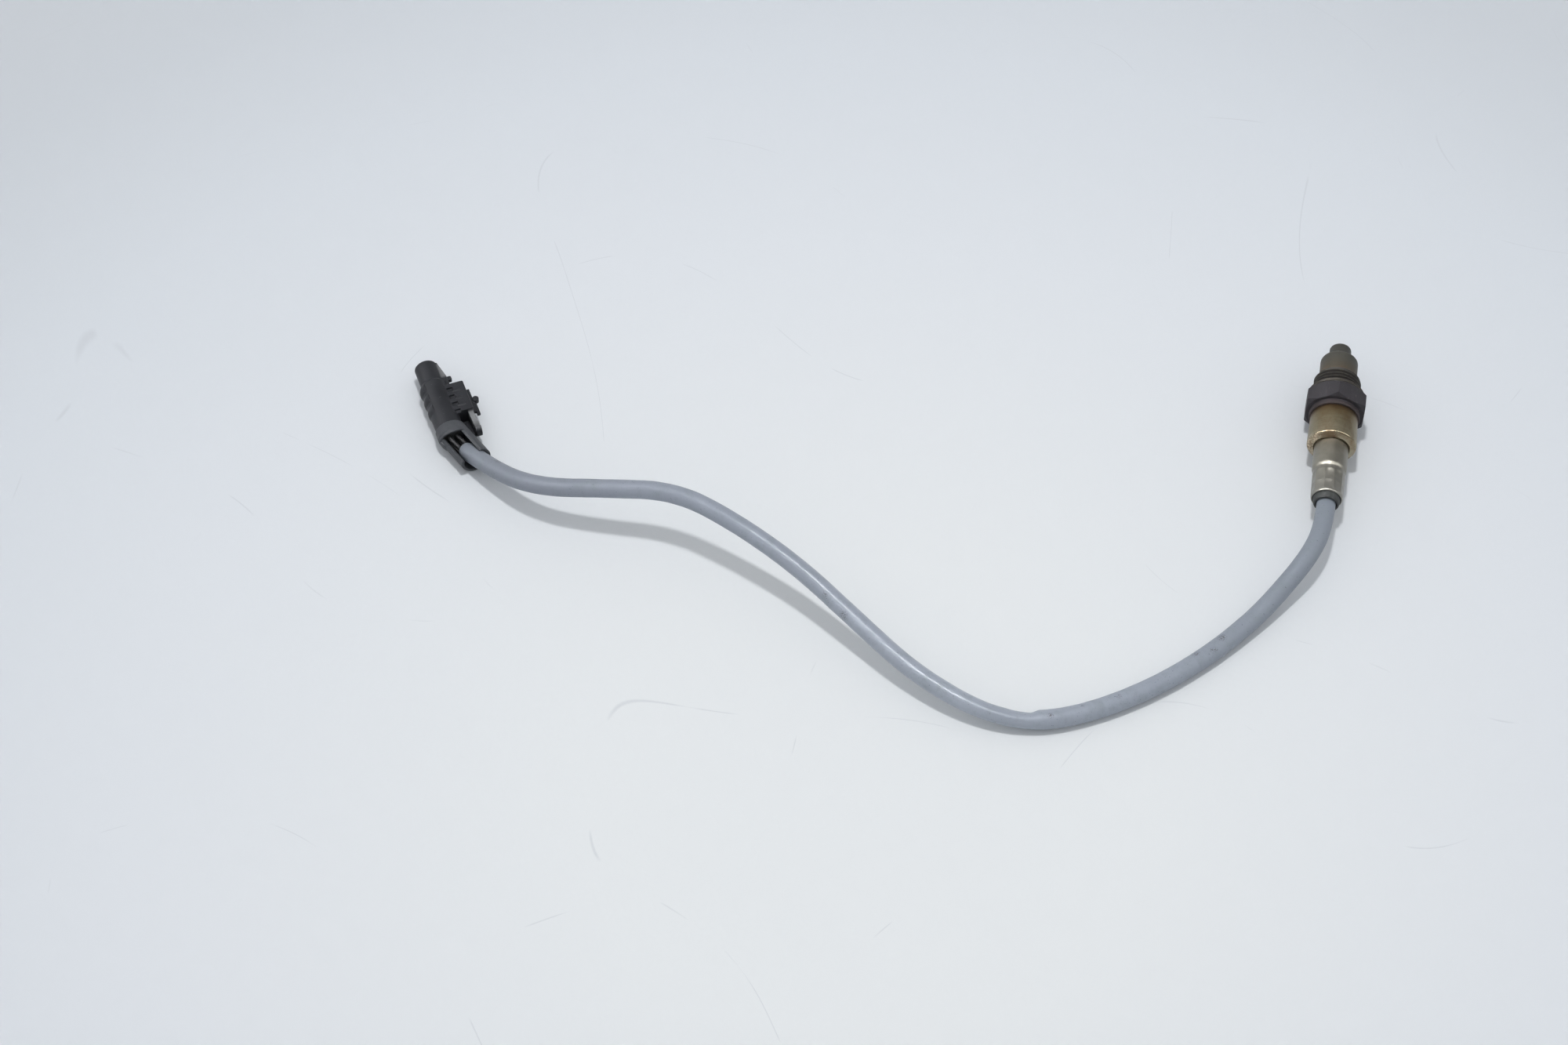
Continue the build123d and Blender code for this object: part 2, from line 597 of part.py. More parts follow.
with BuildPart() as plug_housing:
    with BuildSketch(plug_plan):
        with BuildLine():
            Polyline(
                (0, 0),
                (PLUG_SNOUT_R - PLUG_EDGE, 0),
                (PLUG_SNOUT_R, PLUG_EDGE),
                (PLUG_SNOUT_R, PLUG_SNOUT),
                (PLUG_BODY_R, plug_shoulder),
                (PLUG_BODY_R, plug_body_rear),
                (PLUG_SPIGOT_R, plug_body_rear),
                (PLUG_SPIGOT_R, plug_rear),
                (0, plug_rear),
                close=True,
            )
        make_face()
    revolve(axis=plug_axis)
    # grip ribs on the side away from the latch, swept from below it to above it
    grip_turn = radians(GRIP_SWEEP / 2)
    grip_aside = plug_aside * cos(grip_turn) - Vector(0, 0, 1) * sin(grip_turn)
    grip_plane = Plane(plug_origin, x_dir=grip_aside, z_dir=grip_aside.cross(-plug_forward))
    for rib in range(GRIP_COUNT):
        rib_at = GRIP_FIRST + rib * GRIP_PITCH
        rib_r = PLUG_BODY_R - GRIP_SINK
        with BuildSketch(grip_plane):
            with BuildLine():
                ThreePointArc(
                    (-rib_r, rib_at - GRIP_PITCH / 2),
                    (-PLUG_BODY_R - GRIP_HEIGHT, rib_at),
                    (-rib_r, rib_at + GRIP_PITCH / 2),
                )
                Line((-rib_r, rib_at + GRIP_PITCH / 2), (-rib_r, rib_at - GRIP_PITCH / 2))
            make_face()
        revolve(axis=plug_axis, revolution_arc=GRIP_SWEEP)
    # ramp that leads the mating half under the latch
    with BuildSketch(plug_plan):
        with BuildLine():
            Polyline(
                (PLUG_BORE_R, PLUG_EDGE * 2),
                (PLUG_SNOUT_R, PLUG_EDGE * 2),
                RAMP_END,
                (RAMP_END[0], BLOCK_FROM + BLOCK_ROUND),
                (PLUG_BORE_R, BLOCK_FROM + BLOCK_ROUND),
                close=True,
            )
        make_face()
    extrude(amount=RAMP_HALF, both=True)
    with BuildSketch(plug_plan):
        with Locations(((NUB[0] + NUB[1]) / 2, (NUB_SPAN[0] + NUB_SPAN[1]) / 2)):
            RectangleRounded(NUB[1] - NUB[0], NUB_SPAN[1] - NUB_SPAN[0], PLUG_EDGE)
    extrude(amount=NUB_HALF, both=True)
    # block over the latch
    with BuildSketch(plug_cross.offset(BLOCK_FROM)):
        RectangleRounded(BLOCK_REACH * 2, BLOCK_HALF * 2, BLOCK_ROUND)
        Rectangle(BLOCK_REACH, BLOCK_HALF * 2, align=(Align.MAX, Align.CENTER), mode=Mode.SUBTRACT)
    extrude(amount=BLOCK_LENGTH)
    # rail, tab and knob outside the block
    block_rear = BLOCK_FROM + BLOCK_LENGTH
    tab_reach = BLOCK_REACH + RAIL_THICK + TAB_STEP
    with BuildSketch(plug_plan):
        with Locations((BLOCK_REACH - BLOCK_ROUND, RAIL_FROM)):
            Rectangle(RAIL_THICK + BLOCK_ROUND, block_rear - RAIL_FROM - BLOCK_ROUND, align=Align.MIN)
        with Locations((tab_reach - TAB_THICK, TAB_SPAN[0])):
            Rectangle(TAB_THICK, TAB_SPAN[1] - TAB_SPAN[0], align=Align.MIN)
    extrude(amount=RAIL_HALF, both=True)
    with BuildSketch(plug_plan):
        with Locations(KNOB_AT):
            Circle(KNOB_R)
    extrude(amount=KNOB_HALF, both=True)
    # pressing tongue of the latch, round at its end
    lever_near = LEVER_OFFSET + LEVER_SPLAY
    with BuildPart(mode=Mode.PRIVATE) as tongue:
        with BuildSketch(plug_plan):
            with BuildLine():
                Polyline(
                    (LEVER_OFFSET, block_rear - BLOCK_ROUND),
                    (LEVER_OFFSET + LEVER_THICK, block_rear - BLOCK_ROUND),
                    (lever_near + LEVER_THICK, LEVER_END - FOOT_LENGTH),
                    (lever_near + LEVER_THICK + FOOT_STEP, LEVER_END - FOOT_LENGTH + FOOT_STEP),
                    (lever_near + LEVER_THICK + FOOT_STEP, LEVER_END),
                    (lever_near, LEVER_END),
                    close=True,
                )
            make_face()
        extrude(amount=LEVER_HALF, both=True)
        with BuildSketch(Plane(plug_origin, x_dir=-plug_forward, z_dir=plug_aside)):
            with Locations((LEVER_END / 2, 0)):
                RectangleRounded(LEVER_END, LEVER_HALF * 2, LEVER_ROUND)
        extrude(amount=tab_reach, mode=Mode.INTERSECT)
    add(tongue.part)
    # guard beside the tongue, clear of the hood
    guard_reach = LEVER_OFFSET + LEVER_THICK
    with BuildSketch(plug_plan.offset(LEVER_HALF + GUARD_GAP)):
        with Locations((PLUG_BORE_R, block_rear - BLOCK_ROUND)):
            Rectangle(guard_reach - PLUG_BORE_R, plug_body_rear - SLIP - block_rear + BLOCK_ROUND, align=Align.MIN)
        with Locations((guard_reach - GUARD_REACH + LEVER_SPLAY, block_rear - BLOCK_ROUND)):
            Rectangle(GUARD_REACH - LEVER_SPLAY, GUARD_END - block_rear + BLOCK_ROUND, align=Align.MIN)
    extrude(amount=GUARD_THICK)
    # pockets moulded into both flanks of the block
    pocket_x = (POCKET_SPAN[0] + POCKET_SPAN[1]) / 2
    pocket_y = POCKET_FIRST + POCKET_PITCH * (POCKET_COUNT - 1) / 2
    for flank in (plug_plan.offset(BLOCK_HALF - POCKET_DEPTH), plug_plan.offset(-BLOCK_HALF)):
        with BuildSketch(flank):
            with Locations((pocket_x, pocket_y)):
                with GridLocations(POCKET_SPAN[1] - POCKET_SPAN[0], POCKET_PITCH, 1, POCKET_COUNT):
                    Rectangle(POCKET_SPAN[1] - POCKET_SPAN[0], POCKET_LENGTH)
        extrude(amount=POCKET_DEPTH, mode=Mode.SUBTRACT)
    # bore for the terminal holder, passages for the terminals and bore for the wire seal
    with BuildSketch(plug_cross):
        Circle(PLUG_BORE_R)
    extrude(amount=HOLDER_FACE + HOLDER_DEPTH + RETAINER_THICK, mode=Mode.SUBTRACT)
    with BuildSketch(plug_cross):
        with corners(TERMINAL_PITCH):
            Circle(WIRE_R + SLIP)
    extrude(amount=seal_front, mode=Mode.SUBTRACT)
    with BuildSketch(plug_cross.offset(seal_front)):
        Circle(SEAL_BORE_R)
    extrude(amount=SEAL_DEPTH, mode=Mode.SUBTRACT)

with BuildPart() as terminal_holder:
    with BuildSketch(plug_cross.offset(HOLDER_FACE)):
        Circle(PLUG_BORE_R - SLIP)
        with corners(TERMINAL_PITCH):
            Circle(TERMINAL_R + SLIP, mode=Mode.SUBTRACT)
    extrude(amount=HOLDER_DEPTH)

with BuildPart() as terminal_retainer:
    with BuildSketch(plug_cross.offset(HOLDER_FACE + HOLDER_DEPTH)):
        Circle(PLUG_BORE_R - SLIP)
        with corners(TERMINAL_PITCH):
            Circle(TERMINAL_R + SLIP, mode=Mode.SUBTRACT)
    extrude(amount=RETAINER_THICK)

terminals = []
for place in corners(TERMINAL_PITCH).local_locations:
    with BuildPart() as terminal:
        with BuildSketch(plug_cross.offset(TERMINAL_FROM)):
            with Locations(place):
                Circle(TERMINAL_R)
        extrude(amount=TERMINAL_LENGTH)
        with BuildSketch(plug_cross.offset(TERMINAL_FROM)):
            with Locations(place):
                Circle(TERMINAL_BORE_R)
        extrude(amount=TERMINAL_BORE, mode=Mode.SUBTRACT)
    terminal.part.label = f"terminal_{len(terminals) + 1}"
    terminals.append(terminal.part)

with BuildPart() as wire_seal:
    with BuildSketch(plug_cross.offset(plug_rear - SEAL_LENGTH)):
        Circle(SEAL_BORE_R - SLIP)
        with corners(TERMINAL_PITCH):
            Circle(WIRE_R + SLIP, mode=Mode.SUBTRACT)
    extrude(amount=SEAL_LENGTH)

# each wire runs straight out of the seal and turns to meet the end of the lead squarely
lead_end = lead_points[-1]
lead_heading = lead_runs[-1].normalized()
lead_end_plane = Plane(lead_end, x_dir=lead_heading.cross(Vector(0, 0, 1)), z_dir=-lead_heading)
wire_turn = 1.6
plug_wires = []
for place in corners(TERMINAL_PITCH).local_locations:
    spot = place.position
    start = plug_cross.offset(terminal_rear).from_local_coords(spot)
    leave = plug_cross.offset(plug_rear + wire_turn / 2).from_local_coords(spot)
    meet = lead_end_plane.from_local_coords(spot)
    with BuildPart() as plug_wire:
        with BuildLine() as wire_path:
            FilletPolyline(start, leave, meet + lead_heading * wire_turn, meet, radius=wire_turn)
        with BuildSketch(Plane(start, z_dir=leave - start)):
            Circle(WIRE_R)
        sweep()
    plug_wire.part.label = f"plug_wire_{len(plug_wires) + 1}"
    plug_wires.append(plug_wire.part)

with BuildPart() as plug_hood:
    # collar on the housing's spigot, a ball where the hood bends, and the trough behind it
    with BuildSketch(plug_cross.offset(plug_body_rear)):
        Circle(HOOD_COLLAR_R)
    extrude(amount=PLUG_SPIGOT)
    with Locations(hood_origin):
        Sphere(HOOD_BALL_R)
    with BuildSketch(hood_cross.offset(-HOOD_RUN_IN)):
        with Locations((HOOD_ASIDE, 0)):
            Circle(HOOD_R)
    extrude(amount=HOOD_RUN_IN + HOOD_LENGTH + HOOD_R)
    with Locations(hood_origin):
        Sphere(HOOD_R - HOOD_WALL, mode=Mode.SUBTRACT)
    with BuildSketch(hood_cross):
        with Locations((HOOD_ASIDE, 0)):
            Circle(HOOD_R - HOOD_WALL)
    extrude(amount=HOOD_LENGTH + HOOD_R, mode=Mode.SUBTRACT)
    with BuildSketch(plug_cross.offset(plug_body_rear - HOOD_R)):
        Circle(PLUG_SPIGOT_R + SLIP)
    extrude(amount=PLUG_SPIGOT + HOOD_R, mode=Mode.SUBTRACT)
    with BuildSketch(plug_cross.offset(plug_body_rear)):
        Circle(HOOD_R * 2)
    extrude(amount=-HOOD_R, mode=Mode.SUBTRACT)
    # open side of the trough, and its rear end
    with BuildSketch(hood_mouth):
        with BuildLine():
            Polyline(
                (-HOOD_R, -HOOD_MOUTH[0]),
                (HOOD_R, -HOOD_MOUTH[1]),
                (HOOD_R, -HOOD_LENGTH - HOOD_R * 2),
                (-HOOD_R, -HOOD_LENGTH - HOOD_R * 2),
                close=True,
            )
        make_face()
    extrude(amount=HOOD_R, mode=Mode.SUBTRACT)
    split(bisect_by=hood_end, keep=Keep.BOTTOM)

# ================================================================== files

for name, piece in {
    "sensor_housing": sensor_housing.part,
    "gasket_ring": gasket_ring.part,
    "outer_protection_tube": outer_protection_tube.part,
    "inner_protection_tube": inner_protection_tube.part,
    "sensing_element": sensing_element.part,
    "front_ceramic_bush": front_ceramic_bush.part,
    "talc_packing": talc_packing.part,
    "rear_ceramic_bush": rear_ceramic_bush.part,
    "packing_ring": packing_ring.part,
    "protective_sleeve": protective_sleeve.part,
    "contact_holder": contact_holder.part,
    "holder_clip": holder_clip.part,
    "disc_spring": disc_spring.part,
    "tail_tube": tail_tube.part,
    "grommet": grommet.part,
    "lead_sleeve": lead_sleeve.part,
    "plug_housing": plug_housing.part,
    "terminal_holder": terminal_holder.part,
    "terminal_retainer": terminal_retainer.part,
    "wire_seal": wire_seal.part,
    "plug_hood": plug_hood.part,
}.items():
    piece.label = name
    export_step(piece, f"parts/{name}.step")
for piece in contact_springs + sensor_wires + terminals + plug_wires:
    export_step(piece, f"parts/{piece.label}.step")
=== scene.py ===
import json
from math import atan2, cos, hypot, pi, radians, sin

import bmesh
import bpy
from mathutils import Matrix, Vector, noise


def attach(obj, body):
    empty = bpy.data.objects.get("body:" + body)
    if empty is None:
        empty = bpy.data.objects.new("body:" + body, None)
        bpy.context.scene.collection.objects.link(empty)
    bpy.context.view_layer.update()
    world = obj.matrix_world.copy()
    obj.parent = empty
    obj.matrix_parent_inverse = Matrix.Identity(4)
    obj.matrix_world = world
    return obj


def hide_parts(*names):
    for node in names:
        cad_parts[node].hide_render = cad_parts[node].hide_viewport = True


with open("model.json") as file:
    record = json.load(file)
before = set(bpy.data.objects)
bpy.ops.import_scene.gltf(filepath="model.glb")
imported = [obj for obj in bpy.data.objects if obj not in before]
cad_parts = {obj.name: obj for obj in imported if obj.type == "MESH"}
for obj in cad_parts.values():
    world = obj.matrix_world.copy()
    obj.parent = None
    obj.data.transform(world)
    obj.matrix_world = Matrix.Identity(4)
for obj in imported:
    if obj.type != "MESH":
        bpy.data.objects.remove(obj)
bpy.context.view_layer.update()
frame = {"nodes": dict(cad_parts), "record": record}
scene = bpy.context.scene
nodes = frame["nodes"]

MM = 0.001
FLOOR = -12.7017  # the lowest corner of the hexagon, in millimetres

# the plug's own frame: x away from its body on the latch's side, y from the snout's face to the rear, z down
PLUG_HEIGHT = 5.85  # of its axis over the table
PLUG_AT = Vector((-347.6, -38.0, FLOOR + PLUG_HEIGHT)) * MM
PLUG_TURN = radians(29.5)
PLUG = Matrix.Translation(PLUG_AT) @ Matrix(
    (
        (cos(PLUG_TURN), sin(PLUG_TURN), 0, 0),
        (sin(PLUG_TURN), -cos(PLUG_TURN), 0, 0),
        (0, 0, -1, 0),
        (0, 0, 0, 1),
    )
)
IN_PLACE = Matrix.Identity(4)
IN_METRES = Matrix.Scale(1 / MM, 4)  # for a shape that is in metres already


# ------------------------------------------------------------------ camera
CAMERA_PLACE = (-0.063, -0.8992, 1.0432)
CAMERA_TURN = (radians(38), 0, radians(9.5))
CAMERA_LENS = 82.0


def make_camera():
    data = bpy.data.cameras.new("camera")
    data.lens = CAMERA_LENS
    data.sensor_width = 36.0
    data.clip_start = 0.05
    data.clip_end = 20.0
    camera = bpy.data.objects.new("camera", data)
    camera.location = CAMERA_PLACE
    camera.rotation_euler = CAMERA_TURN
    scene.collection.objects.link(camera)
    scene.camera = camera


make_camera()


# ------------------------------------------------------------------ colours and material nodes
def tone(red, green, blue):
    """A display colour of 0 to 255 as the linear colour that shaders take."""
    shares = [value / 255 for value in (red, green, blue)]
    return tuple(v / 12.92 if v < 0.0404 else ((v + 0.055) / 1.055) ** 2.4 for v in shares) + (1.0,)


def feed(tree, socket, value):
    """Links another node's output to a socket, or sets the socket to a number or a colour."""
    if isinstance(value, bpy.types.NodeSocket):
        tree.links.new(value, socket)
    else:
        socket.default_value = value


def node(tree, kind, **values):
    """A new shader node. Each value goes to the socket or the setting of its name."""
    made = tree.nodes.new("ShaderNode" + kind)
    for key, value in values.items():
        socket = key.replace("_", " ")
        if socket in made.inputs:
            feed(tree, made.inputs[socket], value)
        else:
            setattr(made, key, value)
    return made


def ramp(tree, factor, stops):
    """A colour ramp of (position, colour) stops, fed by factor."""
    made = node(tree, "ValToRGB", Fac=factor)
    ends = made.color_ramp.elements
    while len(ends) < len(stops):
        ends.new(0.5)
    for end, (position, colour) in zip(ends, stops):
        end.position = position
        end.color = tone(*colour)
    return made.outputs["Color"]


def mixed(tree, factor, first, second, kind="MIX"):
    """Two colours mixed by factor; the node's colour sockets are its 6th and 7th inputs and its 2nd output."""
    made = node(tree, "Mix", data_type="RGBA", blend_type=kind)
    for place, value in ((0, factor), (6, first), (7, second)):
        feed(tree, made.inputs[place], value)
    return made.outputs[2]


def grain(tree, where, scale, detail=4.0, stretch=(1, 1, 1), seed=0.0):
    """Noise in the piece's own coordinates; stretch over 1 makes it finer along that axis."""
    placed = node(tree, "Mapping", Vector=where)
    placed.inputs["Scale"].default_value = stretch
    placed.inputs["Location"].default_value = (seed, seed * 1.7, seed * 0.6)
    made = node(tree, "TexNoise", Vector=placed.outputs[0], Scale=scale, Detail=detail, Roughness=0.6)
    return made.outputs["Fac"]


def scaled(tree, value, low, high, to_low=0.0, to_high=1.0):
    """Maps low..high to to_low..to_high, and holds the ends."""
    made = node(tree, "MapRange", Value=value)
    for socket, number in zip(("From Min", "From Max", "To Min", "To Max"), (low, high, to_low, to_high)):
        made.inputs[socket].default_value = number
    return made.outputs[0]


def maths(tree, operation, first, second=0.0):
    made = node(tree, "Math", operation=operation)
    feed(tree, made.inputs[0], first)
    feed(tree, made.inputs[1], second)
    return made.outputs[0]


def times(tree, first, second):
    return maths(tree, "MULTIPLY", first, second)


def split(tree, where):
    """The x, y and z of a vector, as three sockets."""
    return node(tree, "SeparateXYZ", Vector=where).outputs[:]


def distance(tree, where, place):
    made = node(tree, "VectorMath", operation="DISTANCE")
    tree.links.new(where, made.inputs[0])
    made.inputs[1].default_value = place
    return made.outputs["Value"]


def painted(tree, name):
    """What the piece's own mesh attribute says at each place."""
    return node(tree, "Attribute", attribute_name=name).outputs["Fac"]


def start(name, **sockets):
    """A material with its shader's constant sockets set, and its tree, shader and object coordinates."""
    material = bpy.data.materials.new(name)
    material.use_nodes = True
    tree = material.node_tree
    shader = tree.nodes["Principled BSDF"]
    for key, value in sockets.items():
        shader.inputs[key.replace("_", " ")].default_value = value
    where = tree.nodes.new("ShaderNodeTexCoord").outputs["Object"]
    return material, tree, shader, where


def roughen(tree, shader, factor, low, high):
    tree.links.new(scaled(tree, factor, 0.3, 0.7, low, high), shader.inputs["Roughness"])


def emboss(tree, shader, height, strength, distance):
    bump = node(tree, "Bump", Height=height, Strength=strength, Distance=distance)
    tree.links.new(bump.outputs[0], shader.inputs["Normal"])


def plain(name, dark, light, scale, roughness, metallic=0.0, bump=0.15):
    """A mottled finish: two tones, uneven gloss and a fine grain."""
    material, tree, shader, where = start(name, Metallic=metallic)
    mottle = grain(tree, where, scale)
    tree.links.new(ramp(tree, mottle, ((0.3, dark), (0.7, light))), shader.inputs["Base Color"])
    roughen(tree, shader, mottle, *roughness)
    emboss(tree, shader, grain(tree, where, scale * 6, 2.0), bump, 0.00005)
    return material


def along_axis(tree, where, wander, scale=350.0):
    """Distance along the sensor's axis, made a little uneven."""
    _, y, _ = split(tree, where)
    shift = scaled(tree, grain(tree, where, scale, 5.0), 0.2, 0.8, -wander, wander)
    return maths(tree, "ADD", y, shift)


# ------------------------------------------------------------------ finishes
def burnt_hexagon_finish():
    """Heat-blackened steel: purple-grey hexagon, browner collar, rusty thread with bare crests."""
    material, tree, shader, where = start("burnt_hexagon", Metallic=0.5, Specular_IOR_Level=0.35)
    mottle = grain(tree, where, 260.0, 6.0)
    black = ramp(tree, mottle, ((0.3, (50, 48, 52)), (0.7, (74, 72, 75))))
    y = along_axis(tree, where, 0.0005)
    # from the collar's rear to the thread's front
    tint = ramp(
        tree,
        scaled(tree, y, -0.0120, 0.0076),
        (
            (0.0, (80, 69, 65)),
            (0.085, (66, 58, 59)),
            (0.12, (60, 57, 61)),
            (0.52, (58, 56, 59)),
            (0.60, (54, 51, 48)),
            (1.0, (66, 63, 56)),
        ),
    )
    colour = mixed(tree, 0.62, black, tint)
    across, _, up = split(tree, where)
    radius = maths(tree, "SQRT", maths(tree, "ADD", times(tree, across, across), times(tree, up, up)))
    on_thread = times(tree, scaled(tree, y, 0.0, 0.0006), scaled(tree, radius, 0.0086, 0.00895))
    bare = times(tree, on_thread, scaled(tree, grain(tree, where, 500.0, 3.0, seed=3.0), 0.42, 0.66))
    colour = mixed(tree, times(tree, bare, 0.6), colour, tone(98, 94, 84))
    scuffs = scaled(tree, grain(tree, where, 900.0, 2.0, stretch=(1, 0.25, 1), seed=7.0), 0.66, 0.8)
    colour = mixed(tree, times(tree, scuffs, 0.5), colour, tone(120, 116, 112))
    tree.links.new(colour, shader.inputs["Base Color"])
    roughen(tree, shader, mottle, 0.52, 0.68)
    emboss(tree, shader, grain(tree, where, 1500.0, 3.0), 0.25, 0.00006)
    return material


def sooty_tube_finish():
    """Steel cap under a film of soot, browner and streaked at its foot."""
    material, tree, shader, where = start("sooty_tube", Metallic=0.5)
    mottle = grain(tree, where, 300.0, 6.0)
    soot = ramp(tree, mottle, ((0.25, (60, 59, 55)), (0.75, (86, 84, 77))))
    y = along_axis(tree, where, 0.0012)
    foot = ramp(
        tree,
        scaled(tree, y, 0.0074, 0.0240),
        (
            (0.0, (104, 88, 66)),
            (0.14, (84, 76, 64)),
            (0.40, (76, 74, 68)),
            (0.74, (68, 67, 64)),
            (1.0, (58, 59, 58)),
        ),
    )
    colour = mixed(tree, 0.65, soot, foot)
    streaks = scaled(tree, grain(tree, where, 700.0, 3.0, stretch=(1, 0.12, 1), seed=2.0), 0.55, 0.75)
    colour = mixed(tree, times(tree, streaks, 0.35), colour, tone(56, 54, 50))
    tree.links.new(colour, shader.inputs["Base Color"])
    roughen(tree, shader, mottle, 0.5, 0.72)
    emboss(tree, shader, grain(tree, where, 2200.0, 3.0), 0.3, 0.00005)
    return material


def straw_sleeve_finish():
    """Steel shell tinted by heat: orange-brown at the hexagon, straw further back, pinkish on the rolled shoulder."""
    material, tree, shader, where = start("straw_sleeve", Metallic=0.9)
    y = along_axis(tree, where, 0.0011, 240.0)
    tint = ramp(
        tree,
        scaled(tree, y, -0.0268, -0.0118),
        (
            (0.0, (168, 161, 138)),
            (0.05, (146, 130, 107)),
            (0.09, (152, 144, 122)),
            (0.28, (140, 132, 110)),
            (0.55, (132, 122, 98)),
            (0.80, (120, 105, 78)),
            (0.93, (100, 80, 56)),
            (1.0, (76, 60, 50)),
        ),
    )
    bloom = grain(tree, where, 170.0, 4.0, stretch=(1, 0.6, 1), seed=5.0)
    tint = mixed(tree, times(tree, scaled(tree, bloom, 0.48, 0.68), 0.55), tint, tone(104, 79, 53))
    lines = grain(tree, where, 900.0, 2.0, stretch=(0.15, 3.0, 0.15), seed=1.0)
    tint = mixed(tree, scaled(tree, lines, 0.35, 0.65, 0.0, 0.25), tint, tone(80, 74, 62))
    # the rolled end is glossier, with painted highlight flecks on its left
    across, along, _ = split(tree, where)
    rolled = scaled(tree, along, -0.0240, -0.0252)
    painted_glints = times(tree, rolled, scaled(tree, across, -0.0040, -0.0062))
    painted_glints = times(tree, painted_glints, scaled(tree, grain(tree, where, 1300.0, 3.0, seed=11.0), 0.5, 0.62))
    tint = mixed(tree, times(tree, painted_glints, 0.8), tint, tone(214, 196, 170))
    tree.links.new(tint, shader.inputs["Base Color"])
    dull = scaled(tree, bloom, 0.3, 0.7, 0.32, 0.44)
    glossier = maths(tree, "SUBTRACT", dull, times(tree, rolled, 0.14))
    tree.links.new(glossier, shader.inputs["Roughness"])
    emboss(tree, shader, lines, 0.12, 0.00004)
    return material


def tail_tube_finish():
    """Bare deep-drawn steel with fine draw lines and grey handling marks."""
    material, tree, shader, where = start("tail_steel", Metallic=0.95)
    mottle = grain(tree, where, 350.0, 5.0)
    steel = ramp(tree, mottle, ((0.3, (133, 131, 123)), (0.7, (158, 156, 148))))
    y = along_axis(tree, where, 0.0008)
    warm = ramp(
        tree,
        scaled(tree, y, -0.0515, -0.0250),
        ((0.0, (142, 140, 134)), (0.4, (134, 131, 122)), (0.75, (126, 120, 106)), (1.0, (108, 97, 77))),
    )
    colour = mixed(tree, 0.55, steel, warm)
    tree.links.new(colour, shader.inputs["Base Color"])
    roughen(tree, shader, mottle, 0.32, 0.42)
    emboss(tree, shader, grain(tree, where, 800.0, 2.0, stretch=(1, 0.1, 1)), 0.12, 0.00004)
    return material


def lead_finish():
    """Dull grey-blue tubing, lighter through its middle as a painted highlight: greenish smears, specks of dirt, and
    one stretch polished until it sparkles.
    """
    material, tree, shader, where = start("lead_tubing", IOR=1.5)
    across, _, _ = split(tree, where)
    # from the plug's end to the sensor's: darker towards both ends, and lighter through the middle, most at the 0.62
    # stop, as a painted highlight
    colour = ramp(
        tree,
        scaled(tree, across, -0.33, 0.0),
        (
            (0.0, (124, 129, 138)),
            (0.1, (134, 139, 150)),
            (0.25, (147, 153, 165)),
            (0.45, (153, 160, 172)),
            (0.62, (162, 169, 181)),
            (0.82, (152, 159, 171)),
            (1.0, (131, 138, 148)),
        ),
    )
    cloud = scaled(tree, grain(tree, where, 60.0, 4.0), 0.3, 0.7)
    colour = mixed(tree, times(tree, cloud, 0.3), colour, tone(126, 133, 144))
    film = scaled(tree, grain(tree, where, 240.0, 5.0, seed=4.0), 0.5, 0.75)
    colour = mixed(tree, times(tree, film, 0.5), colour, tone(128, 138, 141))
    specks = scaled(tree, grain(tree, where, 1300.0, 1.0, seed=9.0), 0.70, 0.76)
    colour = mixed(tree, times(tree, specks, 0.55), colour, tone(88, 92, 100))
    broken = scaled(tree, grain(tree, where, 2600.0, 3.0, seed=6.0), 0.48, 0.6)
    ragged = times(tree, painted(tree, "dirt"), broken)
    colour = mixed(tree, ragged, colour, tone(78, 78, 78))
    tree.links.new(colour, shader.inputs["Base Color"])
    polish = painted(tree, "sheen")
    dull = scaled(tree, film, 0.0, 1.0, 0.52, 0.62)
    tree.links.new(maths(tree, "SUBTRACT", dull, times(tree, polish, 0.16)), shader.inputs["Roughness"])
    sparkle = scaled(tree, grain(tree, where, 1500.0, 2.0, seed=8.0), 0.42, 0.62, 0.1, 0.42)
    tree.links.new(times(tree, polish, sparkle), shader.inputs["Coat Weight"])
    shader.inputs["Coat Roughness"].default_value = 0.16
    height = maths(tree, "ADD", painted(tree, "ripple"), times(tree, grain(tree, where, 1100.0, 3.0), 0.8))
    emboss(tree, shader, height, 0.35, 0.00008)
    return material


def plug_finish(name, dark, light, gloss):
    """Black moulding with a faint bloom of dust, and a painted highlight in lighter grey where the sheen attribute
    marks the tongue's upper edge and the ramp's upper side.
    """
    material, tree, shader, where = start(name, IOR=1.5, Specular_IOR_Level=0.24)
    dust = grain(tree, where, 120.0, 5.0)
    colour = ramp(tree, dust, ((0.3, dark), (0.7, light)))
    specks = scaled(tree, grain(tree, where, 1600.0, 1.0, seed=2.0), 0.74, 0.82)
    colour = mixed(tree, times(tree, specks, 0.4), colour, tone(128, 130, 134))
    uneven = scaled(tree, grain(tree, where, 500.0, 4.0, seed=5.0), 0.2, 0.5, 0.75, 1.0)
    # painted highlight: lighter grey where the sheen attribute is set
    colour = mixed(tree, times(tree, painted(tree, "sheen"), uneven), colour, tone(136, 137, 139))
    tree.links.new(colour, shader.inputs["Base Color"])
    roughen(tree, shader, dust, *gloss)
    emboss(tree, shader, grain(tree, where, 2600.0, 2.0), 0.1, 0.00004)
    return material


